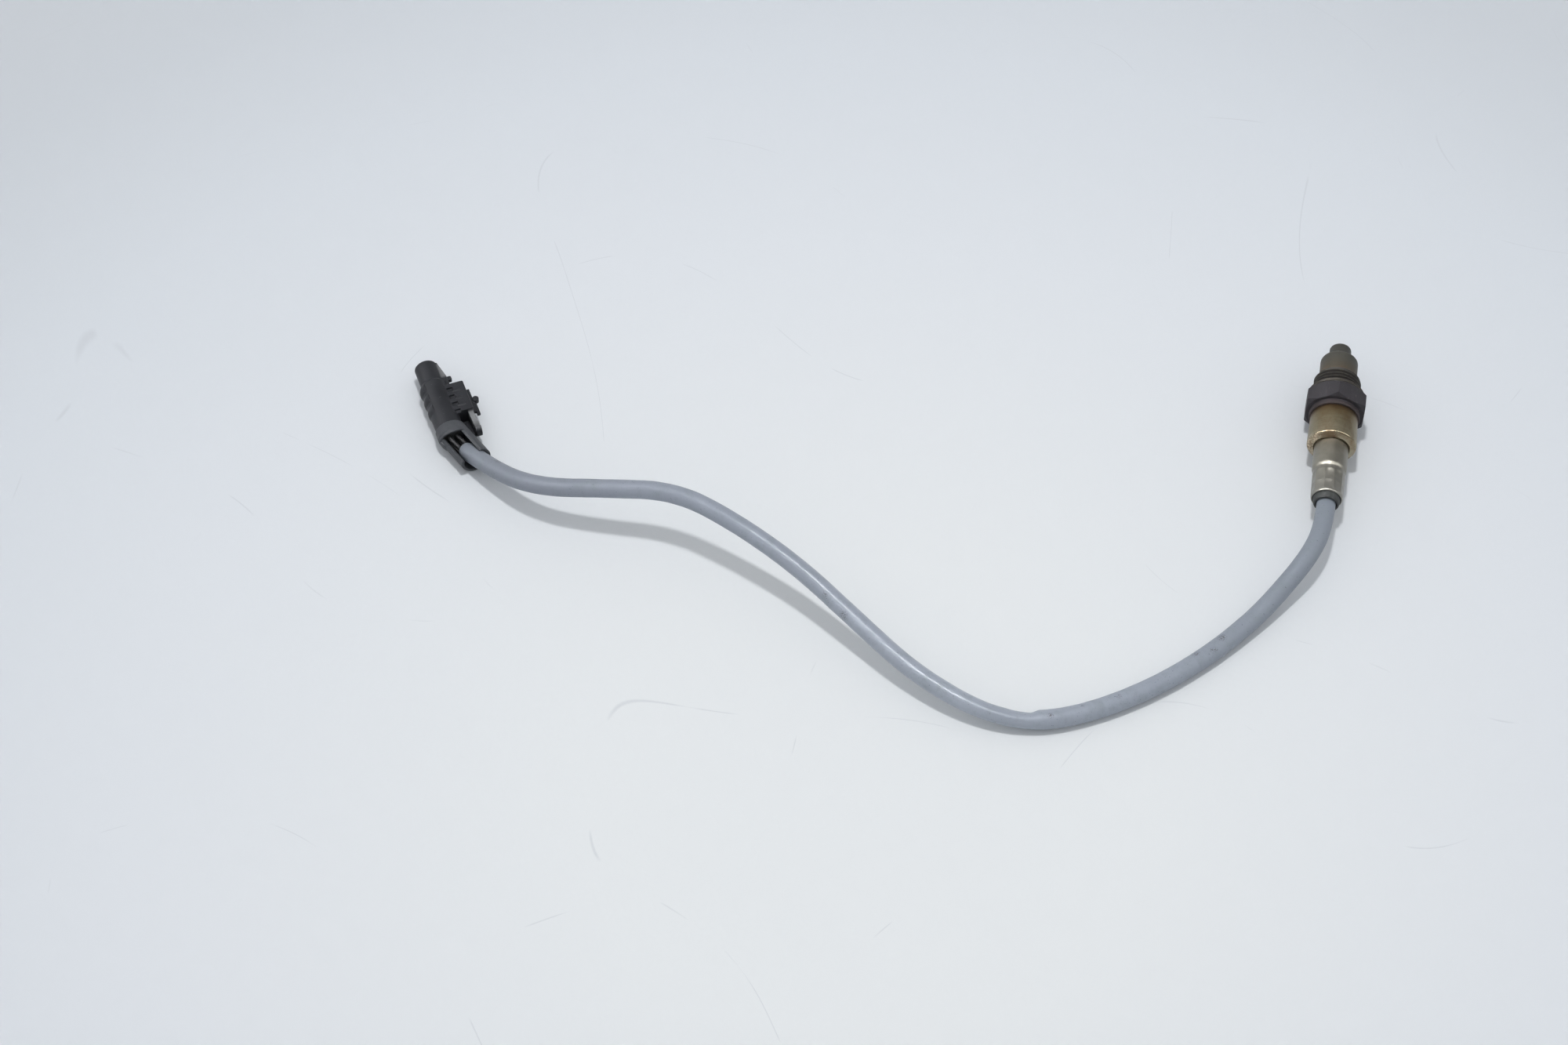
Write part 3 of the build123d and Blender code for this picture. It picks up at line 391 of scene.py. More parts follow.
FINISH = {
    "steel_dark": burnt_hexagon_finish(),
    "steel_sooty": sooty_tube_finish(),
    "steel_straw": straw_sleeve_finish(),
    "steel_plain": tail_tube_finish(),
    "gasket": plain("gasket_steel", (56, 53, 50), (78, 74, 68), 500.0, (0.45, 0.62), 0.7),
    "ceramic_white": plain("fired_ceramic", (206, 202, 192), (226, 222, 212), 600.0, (0.6, 0.75)),
    "talc_grey": plain("pressed_talc", (176, 176, 172), (198, 198, 192), 900.0, (0.8, 0.95), bump=0.4),
    "rubber_black": plain("rubber", (40, 42, 42), (60, 62, 61), 350.0, (0.5, 0.68), bump=0.2),
    "sleeve_grey": lead_finish(),
    # the wires are coloured near black as painted shade for the dark cavity they sit in
    "wire_insulation": plain("wire_insulation", (26, 26, 28), (36, 36, 38), 700.0, (0.5, 0.65)),
    "plastic_black": plug_finish("plug_moulding", (32, 33, 37), (42, 43, 47), (0.42, 0.55)),
    "hood": plug_finish("hood_moulding", (62, 64, 68), (76, 78, 82), (0.45, 0.6)),
    "contact_brass": plain("tinned_contact", (168, 160, 140), (196, 190, 172), 900.0, (0.25, 0.4), 1.0),
}
for entry in frame["record"]["subparts"]:
    mesh = nodes[entry["node"]].data
    mesh.materials.clear()
    mesh.materials.append(FINISH[entry["material_slot"]])


# ------------------------------------------------------------------ building pieces
CREASE = 32  # in degrees, the angle past which an edge stays sharp
PIECE_GAP = 1e-7  # metres, under which two of a piece's dots are one
SHAPE_GAP = 1e-4  # millimetres, the same for a shape that is being built


def finished(shape, name, finish, slot, *stands_for, place=IN_PLACE, crease=CREASE):
    """Turns a bmesh in millimetres into a piece of the object, in metres in the row's frame."""
    bmesh.ops.transform(shape, matrix=place @ Matrix.Scale(MM, 4), verts=shape.verts)
    bmesh.ops.remove_doubles(shape, verts=shape.verts, dist=PIECE_GAP)
    bmesh.ops.recalc_face_normals(shape, faces=shape.faces)
    mesh = bpy.data.meshes.new(name)
    shape.to_mesh(mesh)
    shape.free()
    mesh.materials.append(FINISH[finish])
    mesh.shade_smooth()
    mesh.set_sharp_from_angle(angle=radians(crease))
    piece = bpy.data.objects.new(name, mesh)
    scene.collection.objects.link(piece)
    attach(piece, "root")
    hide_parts(*stands_for)
    return piece


def applied(piece):
    """Applies a piece's modifiers, and keeps the result as the piece's mesh."""
    bpy.context.view_layer.update()
    result = bpy.data.meshes.new_from_object(piece.evaluated_get(bpy.context.evaluated_depsgraph_get()))
    piece.modifiers.clear()
    piece.data = result
    return result


def spun(outline, steps=120, loop=True, shape=None):
    """Spins an outline of (along, radius, corner cut) about y. The corners with a cut are rounded first."""
    one = bmesh.new()
    dots = [one.verts.new((corner[1], corner[0], 0)) for corner in outline]
    for first, second in zip(dots, dots[1:] + dots[:1] if loop else dots[1:]):
        one.edges.new((first, second))
    for dot, corner in zip(dots, outline):
        if len(corner) > 2:
            bmesh.ops.bevel(one, geom=[dot], offset=corner[2], segments=5, profile=0.5, affect="VERTICES", material=-1)
    bmesh.ops.spin(
        one,
        geom=one.verts[:] + one.edges[:],
        cent=(0, 0, 0),
        axis=(0, 1, 0),
        dvec=(0, 0, 0),
        angle=2 * pi,
        steps=steps,
        use_merge=True,
    )
    bmesh.ops.remove_doubles(one, verts=one.verts, dist=SHAPE_GAP)
    return joined(shape, one)


def joined(shape, other):
    """Adds other's faces to shape, or gives other back when there is no shape yet."""
    if shape is None:
        return other
    holder = bpy.data.meshes.new("holder")
    other.to_mesh(holder)
    other.free()
    shape.from_mesh(holder)
    bpy.data.meshes.remove(holder)
    return shape


def stacked(levels, radius_at, steps=180):
    """Extrudes a circle along y through levels; radius_at(level index, turn) shapes each ring."""
    shape = bmesh.new()
    bmesh.ops.create_circle(shape, segments=steps, radius=1.0, matrix=Matrix.Rotation(radians(90), 4, "X"))
    ring = shape.edges[:]
    for index, level in enumerate(levels):
        if index:
            grown = bmesh.ops.extrude_edge_only(shape, edges=ring)["geom"]
            ring = [part for part in grown if isinstance(part, bmesh.types.BMEdge)]
        for dot in {end for edge in ring for end in edge.verts}:
            turn = atan2(dot.co.z, dot.co.x)
            reach = radius_at(index, turn)
            dot.co = (reach * cos(turn), level, reach * sin(turn))
    return shape


def flats(count, apothem, turn, phase):
    """Distance from the axis to the side of a regular polygon with a flat at phase."""
    side = 2 * pi / count
    return apothem / cos((turn - phase + side / 2) % side - side / 2)


# ------------------------------------------------------------------ lead
# The route's points, in metres, from the grommet to the plug.
LEAD_ROUTE = (
    (0.0, -0.0518, 0.0),
    (0.0, -0.064, 0.0),
    (-0.004, -0.0775, -0.001),
    (-0.0115, -0.09, -0.0045),
    (-0.0205, -0.1035, -0.008),
    (-0.0355, -0.1225, -0.0091),
    (-0.0545, -0.141, -0.0091),
    (-0.0765, -0.156, -0.0091),
    (-0.097, -0.164, -0.0085),
    (-0.118, -0.1625, -0.006),
    (-0.1415, -0.152, -0.0035),
    (-0.1645, -0.1355, 0.0005),
    (-0.188, -0.119, 0.0055),
    (-0.2135, -0.106, 0.01),
    (-0.238, -0.0965, 0.012),
    (-0.265, -0.0975, 0.009),
    (-0.2885, -0.0965, 0.0035),
    (-0.3075, -0.0875, -0.0034),
    (-0.3236, -0.075, -0.0073),
)
LEAD_RADIUS = 3.6 * MM
LEAD_SIDES = 40
# share of the lead's length, and how full the tubing is there
LEAD_FULLNESS = (
    (0.0, 0.99),
    (0.28, 1.0),
    (0.37, 1.0),
    (0.385, 0.95),
    (0.44, 0.95),
    (0.55, 0.97),
    (0.9965, 0.965),
    (1.0, 0.8),
)
# share of the lead's length, and how much of the dent's depth its far side has there
LEAD_DENT = ((0.0, 0.0), (0.373, 0.0), (0.382, 1.0), (0.41, 0.6), (0.47, 0.0), (1.0, 0.0))
DENT_DEPTH = 0.27  # of the lead's radius
FAR_SIDE = Vector((0.0, 0.77, 0.64))
# share of the lead's length, and how polished it is there
LEAD_POLISH = (
    (0.0, 0.0),
    (0.33, 0.0),
    (0.4, 0.8),
    (0.47, 1.0),
    (0.56, 0.8),
    (0.62, 1.0),
    (0.68, 0.5),
    (0.73, 0.0),
    (1.0, 0.0),
)
# where the tubing is creased on the inside of its bend, as shares of its length
CREASE_MIDDLE, CREASE_REACH = 0.335, 0.03
# heights and lengths of the tubing's unevenness, in metres
WAVE_HEIGHT, FINE_WAVE_HEIGHT = 0.00005, 0.00002
BUCKLE_DEPTH, BUCKLE_LENGTH = 0.0001, 0.0008
RIPPLE_LENGTH = 0.00038
# share of the length, turn round the lead, size in metres of each nick or smear of dirt
LEAD_MARKS = (
    (0.185, 1.3, 0.0022),
    (0.20, 1.9, 0.0016),
    (0.215, 1.1, 0.0018),
    (0.30, 1.6, 0.0012),
    (0.335, 1.2, 0.001),
    (0.365, 1.8, 0.0014),
    (0.575, 2.6, 0.0022),
    (0.60, 2.3, 0.0012),
    (0.955, 0.9, 0.0022),
    (0.94, 0.8, 0.0012),
)


def lead_line():
    """The smooth line of the lead: a spline through the route, read back as points."""
    curve = bpy.data.curves.new("lead_line", "CURVE")
    curve.dimensions = "3D"
    curve.resolution_u = 26
    spline = curve.splines.new("NURBS")
    spline.points.add(len(LEAD_ROUTE) - 1)
    for point, place in zip(spline.points, LEAD_ROUTE):
        point.co = (*place, 1.0)
    spline.order_u = 3
    spline.use_endpoint_u = True
    holder = bpy.data.objects.new("lead_line", curve)
    scene.collection.objects.link(holder)
    bpy.context.view_layer.update()
    mesh = bpy.data.meshes.new_from_object(holder)
    line = [dot.co.copy() for dot in mesh.vertices]
    bpy.data.objects.remove(holder)
    bpy.data.meshes.remove(mesh)
    return line


def between(table, share):
    """Reads a table of (share, value) rows at any share, with an even start and stop between two rows."""
    for (low, first), (high, second) in zip(table, table[1:]):
        if share <= high:
            return first + (second - first) * ease(share, low, high)
    return table[-1][1]


def ease(value, low, high):
    """0 up to low and 1 from high, with an even start and stop between them."""
    t = min(1.0, max(0.0, (value - low) / (high - low)))
    return t * t * (3 - 2 * t)


def dirt_at(share, turn, length, radius):
    """How dirty the lead is at a share of its length and a turn round it: the most of its marks there."""
    most = 0.0
    for mark_share, mark_turn, size in LEAD_MARKS:
        gap = hypot((share - mark_share) * length, (turn - mark_turn) * radius)
        most = max(most, 1 - gap / size)
    return min(1.0, most * 1.6)


def lead_piece():
    """Tubing along the line: a ring of dots, extruded from place to place, with its unevenness and its marks."""
    line = lead_line()
    reach = [0.0]
    for first, second in zip(line, line[1:]):
        reach.append(reach[-1] + (second - first).length)
    shape = bmesh.new()
    dirt = shape.verts.layers.float.new("dirt")
    sheen = shape.verts.layers.float.new("sheen")
    ripple = shape.verts.layers.float.new("ripple")
    bmesh.ops.create_circle(shape, segments=LEAD_SIDES, radius=LEAD_RADIUS)
    ring = shape.edges[:]
    dots = shape.verts[:]
    side = Vector((1, 0, 0))
    for index, place in enumerate(line):
        ahead = (line[min(index + 1, len(line) - 1)] - line[max(index - 1, 0)]).normalized()
        side = (side - ahead * side.dot(ahead)).normalized()
        other = ahead.cross(side)
        share = reach[index] / reach[-1]
        if index:
            grown = bmesh.ops.extrude_edge_only(shape, edges=ring)["geom"]
            ring = [part for part in grown if isinstance(part, bmesh.types.BMEdge)]
            dots = sorted((part for part in grown if isinstance(part, bmesh.types.BMVert)), key=lambda dot: dot.index)
        full = LEAD_RADIUS * between(LEAD_FULLNESS, share)
        creased = BUCKLE_DEPTH * max(0.0, 1 - abs(share - CREASE_MIDDLE) / CREASE_REACH)
        dent = DENT_DEPTH * between(LEAD_DENT, share)
        polish = between(LEAD_POLISH, share)
        for step, dot in enumerate(dots):
            turn = 2 * pi * step / LEAD_SIDES
            way = side * cos(turn) + other * sin(turn)
            spot = place + way * full
            wave = noise.noise(spot * 260) * WAVE_HEIGHT + noise.noise(spot * 900) * FINE_WAVE_HEIGHT
            buckle = creased * sin(reach[index] / BUCKLE_LENGTH + 2 * noise.noise(spot * 300))
            buckle = abs(buckle) * max(0.0, way.z * 0.6 + 0.4)
            pressed = dent * full * max(0.0, way.dot(FAR_SIDE))
            dot.co = place + way * (full + wave - buckle - pressed)
            dot[sheen] = polish
            dot[ripple] = 0.5 + 0.5 * sin(reach[index] / RIPPLE_LENGTH + 1.5 * noise.noise(spot * 400))
            dot[dirt] = dirt_at(share, atan2(way.z, way.cross(ahead).z), reach[-1], full)
        shape.verts.index_update()
    bmesh.ops.holes_fill(shape, edges=[edge for edge in shape.edges if edge.is_boundary], sides=LEAD_SIDES)
    piece = finished(shape, "lead_tubing", "sleeve_grey", "sleeve_grey", "lead_sleeve", place=IN_METRES, crease=50)
    return piece, line


lead, lead_path = lead_piece()


# ------------------------------------------------------------------ sensor
# sizes in millimetres; y runs from the rear to the tip
HEX_FRONT, HEX_REAR = -1.8, -9.8
HEX_APOTHEM, HEX_FACE = 11.0, 10.9
HEX_CORNER = 12.6  # from the axis, where the corners are worn round
HEX_EDGE = 0.14
REAR_SLOPE = 0.577  # of the rear chamfer; the front one is 45 degrees
THREAD_ROOT, THREAD_CREST, THREAD_PITCH = 8.08, 8.99, 1.5
THREAD_FRONT = 7.4
THREAD_TURNS, TURN_STEPS = 7, 96


def hexagon():
    """The hexagon with its two cone chamfers, a steeper one at the front, and softened edges."""

    def side(turn):
        sharp = flats(6, HEX_APOTHEM, turn, 0.0)
        return min(sharp, HEX_CORNER - (HEX_CORNER - sharp) * 0.2)

    levels = (HEX_FRONT, HEX_FRONT, HEX_FRONT - HEX_EDGE, HEX_REAR + HEX_EDGE, HEX_REAR, HEX_REAR)
    rims = {0: 8.0, 1: HEX_FACE - 0.12, 4: HEX_FACE + 0.08, 5: 8.0}
    shape = stacked(levels, lambda index, turn: rims.get(index) or side(turn), 240)
    for dot in shape.verts:
        reach = hypot(dot.co.x, dot.co.z)
        if reach > HEX_APOTHEM - 0.05:
            if dot.co.y > -5:
                dot.co.y -= reach - HEX_FACE - 0.1
            else:
                dot.co.y += max(0.0, reach - HEX_FACE - 0.2) * REAR_SLOPE
    return shape


def thread():
    """One turn's outline wound forward along the axis, faded at both ends by the chamfer and the relief."""
    root, crest = THREAD_ROOT, THREAD_CREST
    shape = bmesh.new()
    outline = ((0.0, root), (0.08, root), (0.66, crest), (0.84, crest), (1.42, root), (THREAD_PITCH, root))
    dots = [shape.verts.new((radius, along - THREAD_PITCH, 0)) for along, radius in outline]
    for first, second in zip(dots, dots[1:]):
        shape.edges.new((first, second))
    bmesh.ops.spin(
        shape,
        geom=shape.verts[:] + shape.edges[:],
        cent=(0, 0, 0),
        axis=(0, 1, 0),
        dvec=(0, THREAD_PITCH / TURN_STEPS, 0),
        angle=-2 * pi * THREAD_TURNS,
        steps=TURN_STEPS * THREAD_TURNS,
        use_merge=False,
    )
    bmesh.ops.remove_doubles(shape, verts=shape.verts, dist=SHAPE_GAP)
    for level, way in ((0.02, -1), (THREAD_FRONT - 0.02, 1)):
        whole = shape.verts[:] + shape.edges[:] + shape.faces[:]
        bmesh.ops.bisect_plane(shape, geom=whole, plane_co=(0, level, 0), plane_no=(0, way, 0), clear_outer=True)
    for dot in shape.verts:
        reach = hypot(dot.co.x, dot.co.z)
        limit = min(crest, root + 0.03 + (THREAD_FRONT - dot.co.y) * 0.75, root + dot.co.y * 1.3)
        if reach > limit > 0:
            dot.co.x *= limit / reach
            dot.co.z *= limit / reach
    return shape


# outlines of (along, radius, corner cut)
THREAD_CORE = (
    (-1.9, 8.2),
    (-0.3, 8.2, 0.15),
    (0.1, 8.05),
    (7.3, 8.05, 0.06),
    (7.4, 7.95),
    (7.4, 7.25, 0.1),
    (4.5, 7.25),
    (4.5, 7.0),
    (-1.9, 7.0),
)
COLLAR_AND_SPIGOT = (
    (-9.7, 7.0),
    (-9.7, 9.75),
    (-9.95, 9.62, 0.08),
    (-11.55, 9.6, 0.1),
    (-11.8, 9.3, 0.1),
    (-11.8, 8.3),
    (-15.8, 8.3),
    (-15.8, 7.0),
)


def housing_piece():
    shape = joined(hexagon(), thread())
    shape = spun(THREAD_CORE, shape=shape)
    shape = spun(COLLAR_AND_SPIGOT, shape=shape)
    finished(shape, "sensor_body", "steel_dark", "steel_dark", "sensor_housing")


def gasket_piece():
    """A captive ring folded from sheet: two rounded lips with a crease between them."""
    shape = spun(
        (
            (-1.78, 9.0),
            (-1.78, 10.3, 0.35),
            (-1.35, 10.86, 0.2),
            (-0.98, 10.6, 0.12),
            (-0.85, 10.6, 0.12),
            (-0.45, 10.86, 0.2),
            (-0.02, 10.3, 0.35),
            (0.0, 9.2, 0.3),
            (-0.7, 8.45, 0.3),
            (-1.78, 8.42, 0.2),
        )
    )
    finished(shape, "folded_gasket", "gasket", "steel_plain", "gasket_ring")


def cut_with(piece, cutter_shape):
    """Cuts the cutter's shape out of a piece, and keeps the result as the piece's mesh."""
    cutter_mesh = bpy.data.meshes.new("cutter")
    cutter_shape.to_mesh(cutter_mesh)
    cutter_shape.free()
    cutter_mesh.materials.append(piece.data.materials[0])
    cutter = bpy.data.objects.new("cutter", cutter_mesh)
    scene.collection.objects.link(cutter)
    cut = piece.modifiers.new("cut", "BOOLEAN")
    cut.operation = "DIFFERENCE"
    cut.solver = "EXACT"
    cut.object = cutter
    applied(piece).set_sharp_from_angle(angle=radians(CREASE))
    bpy.data.objects.remove(cutter)


GAS_HOLES = 8
GAS_HOLE_RADIUS = 0.8
GAS_HOLE_PLACE = (5.9, 16.6)  # its distance from the axis and along it
GAS_HOLE_LEAN = 0.9
DRILL_LENGTH = 3.0


def protection_tube_piece():
    shape = spun(
        (
            (4.95, 7.15),
            (17.4, 7.15, 1.75),
            (17.4, 4.15, 0.45),
            (23.6, 4.15, 1.3),
            (23.6, 1.2, 0.15),
            (23.1, 1.2, 0.1),
            (23.1, 3.65, 0.9),
            (16.9, 3.65, 0.2),
            (16.9, 6.65, 1.4),
            (4.95, 6.65),
        ),
        steps=144,
    )
    piece = finished(shape, "stepped_cap", "steel_sooty", "steel_sooty", "outer_protection_tube")
    drills = bmesh.new()
    ring, level = GAS_HOLE_PLACE
    for hole in range(GAS_HOLES):
        turn = 2 * pi * (hole + 0.5) / GAS_HOLES
        way = Vector((cos(turn), GAS_HOLE_LEAN, sin(turn))).normalized()
        at = Vector((ring * cos(turn), level, ring * sin(turn)))
        tilt = way.to_track_quat("Z", "Y").to_matrix().to_4x4()
        bmesh.ops.create_cone(
            drills,
            cap_ends=True,
            segments=24,
            radius1=GAS_HOLE_RADIUS * MM,
            radius2=GAS_HOLE_RADIUS * MM,
            depth=DRILL_LENGTH * MM,
            matrix=Matrix.Translation(at * MM) @ tilt,
        )
    cut_with(piece, drills)


def sleeve_piece():
    shape = spun(
        (
            (-11.82, 8.98, 0.12),
            (-25.6, 9.38, 0.7),
            (-26.68, 7.02, 0.3),
            (-26.5, 6.62, 0.1),
            (-25.1, 6.62),
            (-25.0, 8.4, 0.2),
            (-11.82, 8.42),
        )
    )
    finished(shape, "straw_sleeve", "steel_straw", "steel_straw", "protective_sleeve")


CRIMP_TOP = pi / 2  # one facet of every row faces straight up
# y, round radius, facet apothem and how far the facets have come in
TAIL_LEVELS = (
    (-25.0, 6.5, 0, 0),
    (-36.9, 6.5, 0, 0),
    (-37.3, 6.485, 0, 0),
    (-37.65, 6.43, 0, 0),
    (-38.0, 6.34, 0, 0),
    (-38.35, 6.215, 0, 0),
    (-38.65, 6.09, 0, 0),
    (-38.9, 6.02, 0, 0),
    (-39.2, 5.99, 0, 0),
    (-39.7, 5.98, 0, 0),
    (-40.25, 5.98, 0, 0),
    (-40.5, 6.02, 5.82, 0.0),
    (-40.9, 6.07, 5.82, 1.0),
    (-45.3, 6.07, 5.8, 1.0),
    (-45.75, 6.03, 5.8, 0.5),
    (-46.0, 6.02, 5.78, 0.5),
    (-46.45, 6.05, 5.78, 1.0),
    (-49.3, 6.05, 5.78, 1.0),
    (-49.9, 6.0, 5.78, 0.1),
    (-50.3, 5.95, 0, 0),
    (-50.7, 5.93, 0, 0),
    (-50.95, 5.87, 0, 0),
    (-51.15, 5.76, 0, 0),
    (-51.27, 5.62, 0, 0),
    (-51.3, 5.48, 0, 0),
    (-51.15, 5.28, 0, 0),
    (-50.9, 5.25, 0, 0),
    (-42.0, 5.25, 0, 0),
    (-41.5, 5.6, 0, 0),
    (-25.0, 5.95, 0, 0),
)


def tail_piece():
    def reach(index, turn):
        _, round_radius, apothem, share = TAIL_LEVELS[index]
        if not share:
            return round_radius
        facet = min(round_radius, flats(10, apothem, turn, CRIMP_TOP))
        return round_radius + (facet - round_radius) * share

    shape = stacked([level[0] for level in TAIL_LEVELS], reach, 200)
    finished(shape, "crimped_tail", "steel_plain", "steel_plain", "tail_tube", crease=40)


def grommet_piece():
    shape = spun(
        (
            (-42.0, 0.0),
            (-42.0, 5.2),
            (-51.0, 5.2),
            (-51.35, 5.12, 0.1),
            (-53.8, 4.72, 0.45),
            (-53.8, 3.85, 0.3),
            (-51.8, 3.66),
            (-51.8, 0.0),
        ),
        loop=False,
    )
    finished(shape, "rubber_grommet", "rubber_black", "rubber_black", "grommet")


housing_piece()
gasket_piece()
protection_tube_piece()
sleeve_piece()
tail_piece()
grommet_piece()


# ------------------------------------------------------------------ plug
MOULD_GRAIN = 0.17  # millimetres, the fineness of the remeshed mouldings
IN_PLUG = PLUG @ Matrix.Scale(MM, 4)  # from the plug's own millimetres to metres in the row's frame
HOOD_TURN = radians(17)
HOOD_TILT = radians(27)
HOOD_START = Vector((0.0, 37.4, 0.0))  # where the hood bends away from the plug's line
# the strip on the hood's low side: its radii, its turns in degrees from the open side, and its span along the hood
STRIP_INSIDE, STRIP_OUTSIDE = 4.72, 5.83
STRIP_TURNS = (42, 46, 50, 54, 58, 62)
STRIP_SPAN = (-1.5, 13.4)
# the fine lines across the latch block's side: where they are, and their width, all along the plug
BLOCK_LINES_AT = (18.5, 22.3, 26.0)
BLOCK_LINE_HALF = 0.2


def moulded(node_name, name, finish, extra, painted_highlight_at=None):
    """A moulding made from a solid: its edges round off and its joints fill a little, as they do in a mould."""
    shape = bmesh.new()
    shape.from_mesh(nodes[node_name].data)
    bmesh.ops.remove_doubles(shape, verts=shape.verts, dist=1e-6)
    for detail in extra:
        detail.transform(IN_PLUG)
        joined(shape, detail)
    piece = finished(shape, name, finish, "plastic_black", node_name, place=IN_METRES)
    blend = piece.modifiers.new("blend", "REMESH")
    blend.mode = "VOXEL"
    blend.voxel_size = MOULD_GRAIN * MM
    soften = piece.modifiers.new("soften", "SMOOTH")
    soften.factor = 0.5
    soften.iterations = 4
    lighter = piece.modifiers.new("lighter", "DECIMATE")
    lighter.ratio = 0.5
    result = applied(piece)
    result.shade_smooth()
    # the sheen attribute marks where a highlight is painted into the colour
    sheen = result.attributes.new("sheen", "FLOAT", "POINT")
    home = IN_PLUG.inverted()
    for index, dot in enumerate(result.vertices):
        sheen.data[index].value = painted_highlight_at(home @ dot.co) if painted_highlight_at else 0.0
    return piece


def slab(x, y, z):
    """A box in the plug's frame, from its spans in millimetres."""
    shape = bmesh.new()
    bmesh.ops.create_cube(shape, size=1.0)
    for dot in shape.verts:
        dot.co = [low + (high - low) * (c + 0.5) for c, (low, high) in zip(dot.co, (x, y, z))]
    return shape


def painted_highlight_spots(spot):
    """Where a highlight is painted into the moulding's colour: the upper edge of the tongue and the upper side of the
    ramp.
    """
    x, y, z = spot
    height = -z
    tongue = ease(x, 8.4, 8.9) * ease(y, 28.6, 29.6) * (1 - 0.75 * ease(y, 33.0, 38.5))
    tongue *= ease(height, 1.6, 2.3) * (1 - ease(height, 3.2, 3.8))
    ramp_side = ease(x, 3.4, 4.6) * (1 - ease(x, 6.3, 6.9)) * ease(height, 1.2, 2.2)
    ramp_side *= ease(y, 0.8, 3.0) * (1 - ease(y, 8.4, 9.6))
    return 0.95 * tongue + 0.7 * ramp_side


def hood_edge():
    """The hood's wall carried a little higher on its low side, in the plug's frame, from its mouth to its end."""
    aside = Vector((cos(HOOD_TURN), -sin(HOOD_TURN), 0))
    rearward = Vector((sin(HOOD_TURN), cos(HOOD_TURN), 0))
    up = Vector((0, 0, -1))
    opening = up * cos(HOOD_TILT) - aside * sin(HOOD_TILT)
    low_side = -aside * cos(HOOD_TILT) - up * sin(HOOD_TILT)
    start_at, end_at = STRIP_SPAN
    middle = HOOD_START + aside + rearward * start_at
    profile = [(STRIP_OUTSIDE, turn) for turn in STRIP_TURNS] + [(STRIP_INSIDE, turn) for turn in STRIP_TURNS[::-1]]
    shape = bmesh.new()
    section = []
    for reach, turn in profile:
        way = opening * cos(radians(turn)) + low_side * sin(radians(turn))
        section.append(shape.verts.new(middle + way * reach))
    grown = bmesh.ops.extrude_face_region(shape, geom=[shape.faces.new(section)], use_keep_orig=True)["geom"]
    moved = [part for part in grown if isinstance(part, bmesh.types.BMVert)]
    bmesh.ops.translate(shape, verts=moved, vec=rearward * (end_at - start_at))
    bmesh.ops.recalc_face_normals(shape, faces=shape.faces)
    return shape


def block_line(at):
    return slab((6.0, 8.9), (at - BLOCK_LINE_HALF, at + BLOCK_LINE_HALF), (-4.45, -3.9))


block_lines = [block_line(at) for at in BLOCK_LINES_AT]
plug = moulded("plug_housing", "plug_moulding", "plastic_black", block_lines, painted_highlight_spots)
hood = moulded("plug_hood", "hood_moulding", "hood", [hood_edge()])


# ------------------------------------------------------------------ table, light and background
TABLE_TONE = tone(226, 229, 232)
TABLE_GAP = 0.00002  # metres, between the table and the lowest corner
PAINTED_LIGHT_POOL_MIDDLE = (-0.15, -0.2, 0.0)  # the middle of the pool of light painted on the table
# distance in metres from there, and the table's colour there: painted light, brightest at the middle
PAINTED_LIGHT_POOL_TONES = (
    (0.1, (228, 231, 233)),
    (0.26, (221, 225, 230)),
    (0.37, (214, 219, 225)),
    (0.47, (204, 209, 215)),
    (0.6, (201, 205, 210)),
)


def make_table():
    shape = bmesh.new()
    bmesh.ops.create_grid(shape, x_segments=1, y_segments=1, size=8.0)
    bmesh.ops.translate(shape, verts=shape.verts, vec=(0, 0, FLOOR * MM - TABLE_GAP))
    mesh = bpy.data.meshes.new("table")
    shape.to_mesh(mesh)
    shape.free()
    material, tree, shader, where = start("table_top", Roughness=0.6)
    # painted light: the table's colour is lightest at a middle point and darker away from it
    colour = ramp(tree, distance(tree, where, PAINTED_LIGHT_POOL_MIDDLE), PAINTED_LIGHT_POOL_TONES)
    # hairline scratches: short lengths of the contours of two slow noises
    for seed in (0.0, 4.0):
        contour = maths(tree, "ABSOLUTE", maths(tree, "SUBTRACT", grain(tree, where, 6.0, 0.0, seed=seed), 0.5))
        broken = scaled(tree, grain(tree, where, 34.0, 1.0, seed=seed + 3.0), 0.58, 0.64)
        scratch = times(tree, scaled(tree, contour, 0.0009, 0.0002), broken)
        colour = mixed(tree, times(tree, scratch, 0.45), colour, tone(196, 200, 206))
    tree.links.new(colour, shader.inputs["Base Color"])
    mesh.materials.append(material)
    table = bpy.data.objects.new("table", mesh)
    scene.collection.objects.link(table)


LAMP_PLACE = (-0.17, -0.02, 1.45)
LAMP_WIDTH, LAMP_POWER = 0.13, 8.4
SOFT_LIGHT = (0.96, 0.98, 1.0, 1.0)
SOFT_STRENGTH = 0.6
# what metal shows of the room by height: pale low down, darker overhead
ROOM_TONES = ((0.0, (216, 218, 220)), (0.25, (200, 202, 204)), (0.55, (182, 183, 184)), (1.0, (170, 171, 172)))
# direction, reach and strength of two lamps: one of the row is close by, the other stands to the left
LAMPS = (((-0.1, 0.0, 0.995), 0.12, 32.0), ((-0.62, -0.17, 0.77), 0.14, 42.0))


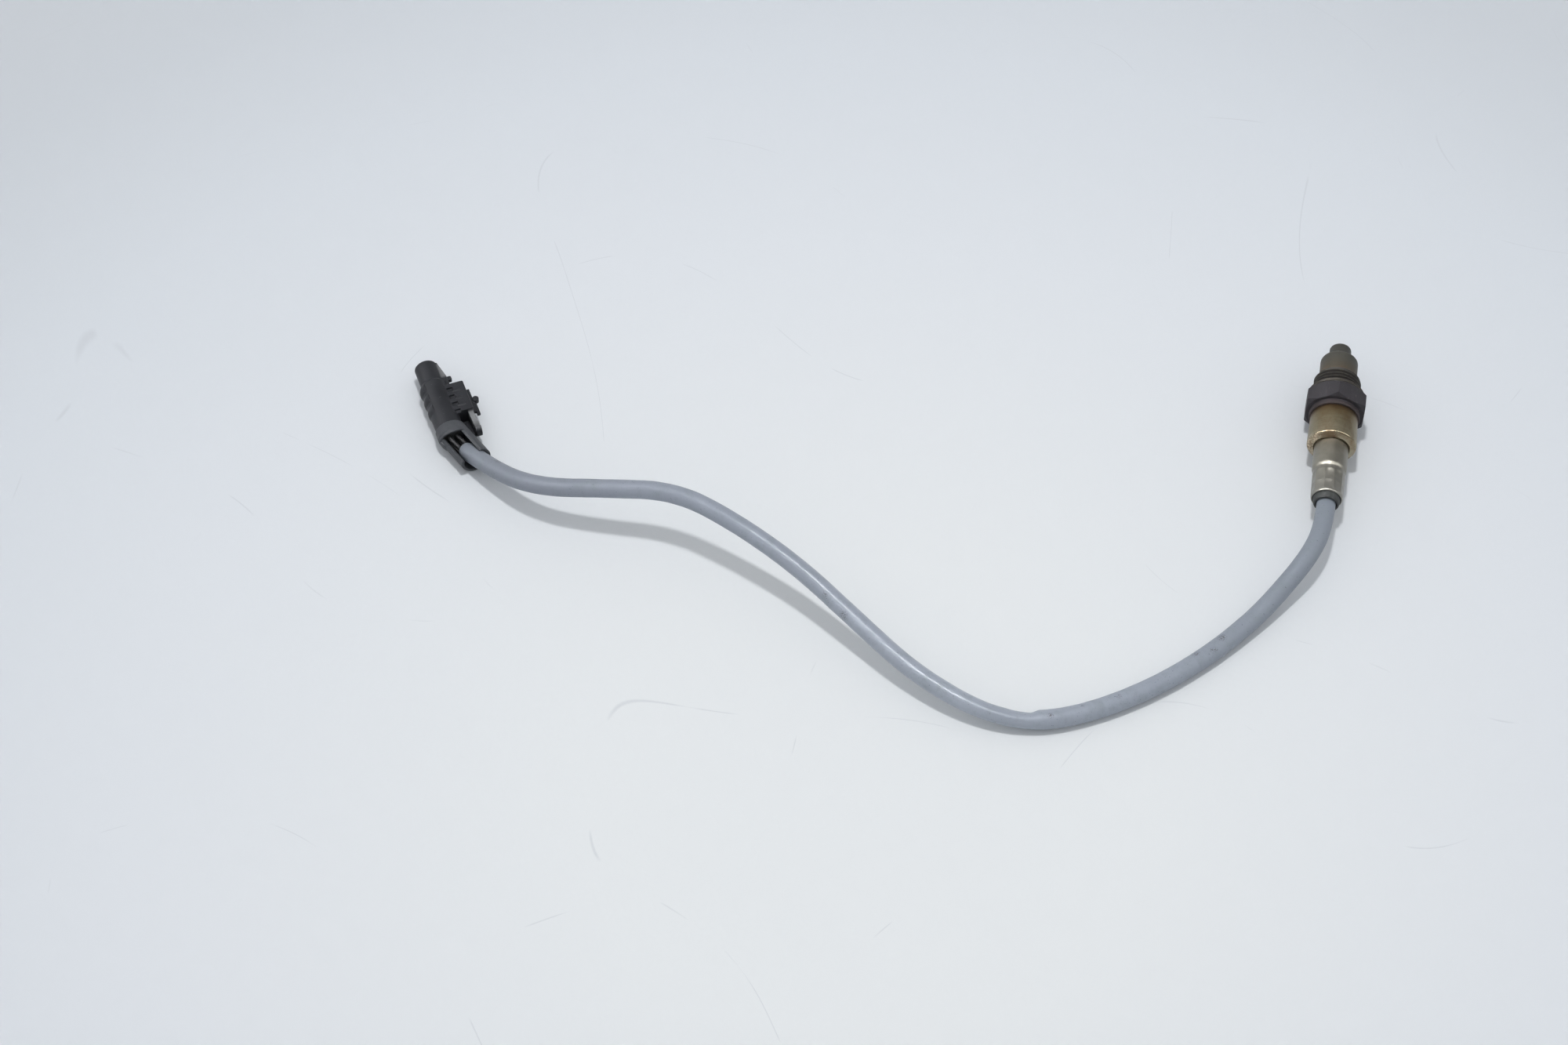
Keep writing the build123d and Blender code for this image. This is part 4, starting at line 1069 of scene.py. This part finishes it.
def make_lamp():
    data = bpy.data.lights.new("ceiling_lamp", "AREA")
    data.shape = "DISK"
    data.size = LAMP_WIDTH
    data.energy = LAMP_POWER
    lamp = bpy.data.objects.new("ceiling_lamp", data)
    lamp.location = LAMP_PLACE
    lamp.visible_glossy = False
    scene.collection.objects.link(lamp)


def reflected_room(tree):
    """What metal shows of the room: walls lighter on the left, a row of lamps across the middle, and two lamps."""
    direction = tree.nodes.new("ShaderNodeTexCoord").outputs["Generated"]
    x, y, z = split(tree, direction)
    walls = ramp(tree, z, ROOM_TONES)
    left_wall = mixed(tree, 0.6, walls, tone(240, 241, 242))
    right_wall = mixed(tree, 0.45, walls, tone(104, 105, 108))
    walls = mixed(tree, scaled(tree, x, -0.7, 0.7), left_wall, right_wall)
    lamps = times(
        tree,
        scaled(tree, maths(tree, "ABSOLUTE", y), 0.14, 0.06),
        scaled(tree, z, 0.2, 0.45, 0.0, 5.0),
    )
    for place, reach, strength in LAMPS:
        lamp = scaled(tree, distance(tree, direction, place), reach, reach * 0.7, 0.0, strength)
        lamps = maths(tree, "ADD", lamps, lamp)
    return mixed(tree, 1.0, walls, lamps, "ADD")


def make_room():
    """A plain soft light all round, the table's colour behind it, and the room as metal shows it."""
    world = bpy.data.worlds.new("room")
    scene.world = world
    world.use_nodes = True
    tree = world.node_tree
    soft = tree.nodes["Background"]
    soft.inputs["Color"].default_value = SOFT_LIGHT
    soft.inputs["Strength"].default_value = SOFT_STRENGTH
    seen = node(tree, "Background", Color=TABLE_TONE, Strength=1.0)
    shown = node(tree, "Background", Color=reflected_room(tree))
    path = node(tree, "LightPath")
    clear = maths(tree, "MAXIMUM", path.outputs["Is Camera Ray"], path.outputs["Is Transmission Ray"])
    mirrored = node(tree, "MixShader", Fac=path.outputs["Is Glossy Ray"])
    feed(tree, mirrored.inputs[1], soft.outputs[0])
    feed(tree, mirrored.inputs[2], shown.outputs[0])
    behind = node(tree, "MixShader", Fac=clear)
    feed(tree, behind.inputs[1], mirrored.outputs[0])
    feed(tree, behind.inputs[2], seen.outputs[0])
    feed(tree, tree.nodes["World Output"].inputs["Surface"], behind.outputs[0])


make_table()
make_lamp()
make_room()
scene.view_settings.view_transform = "Standard"
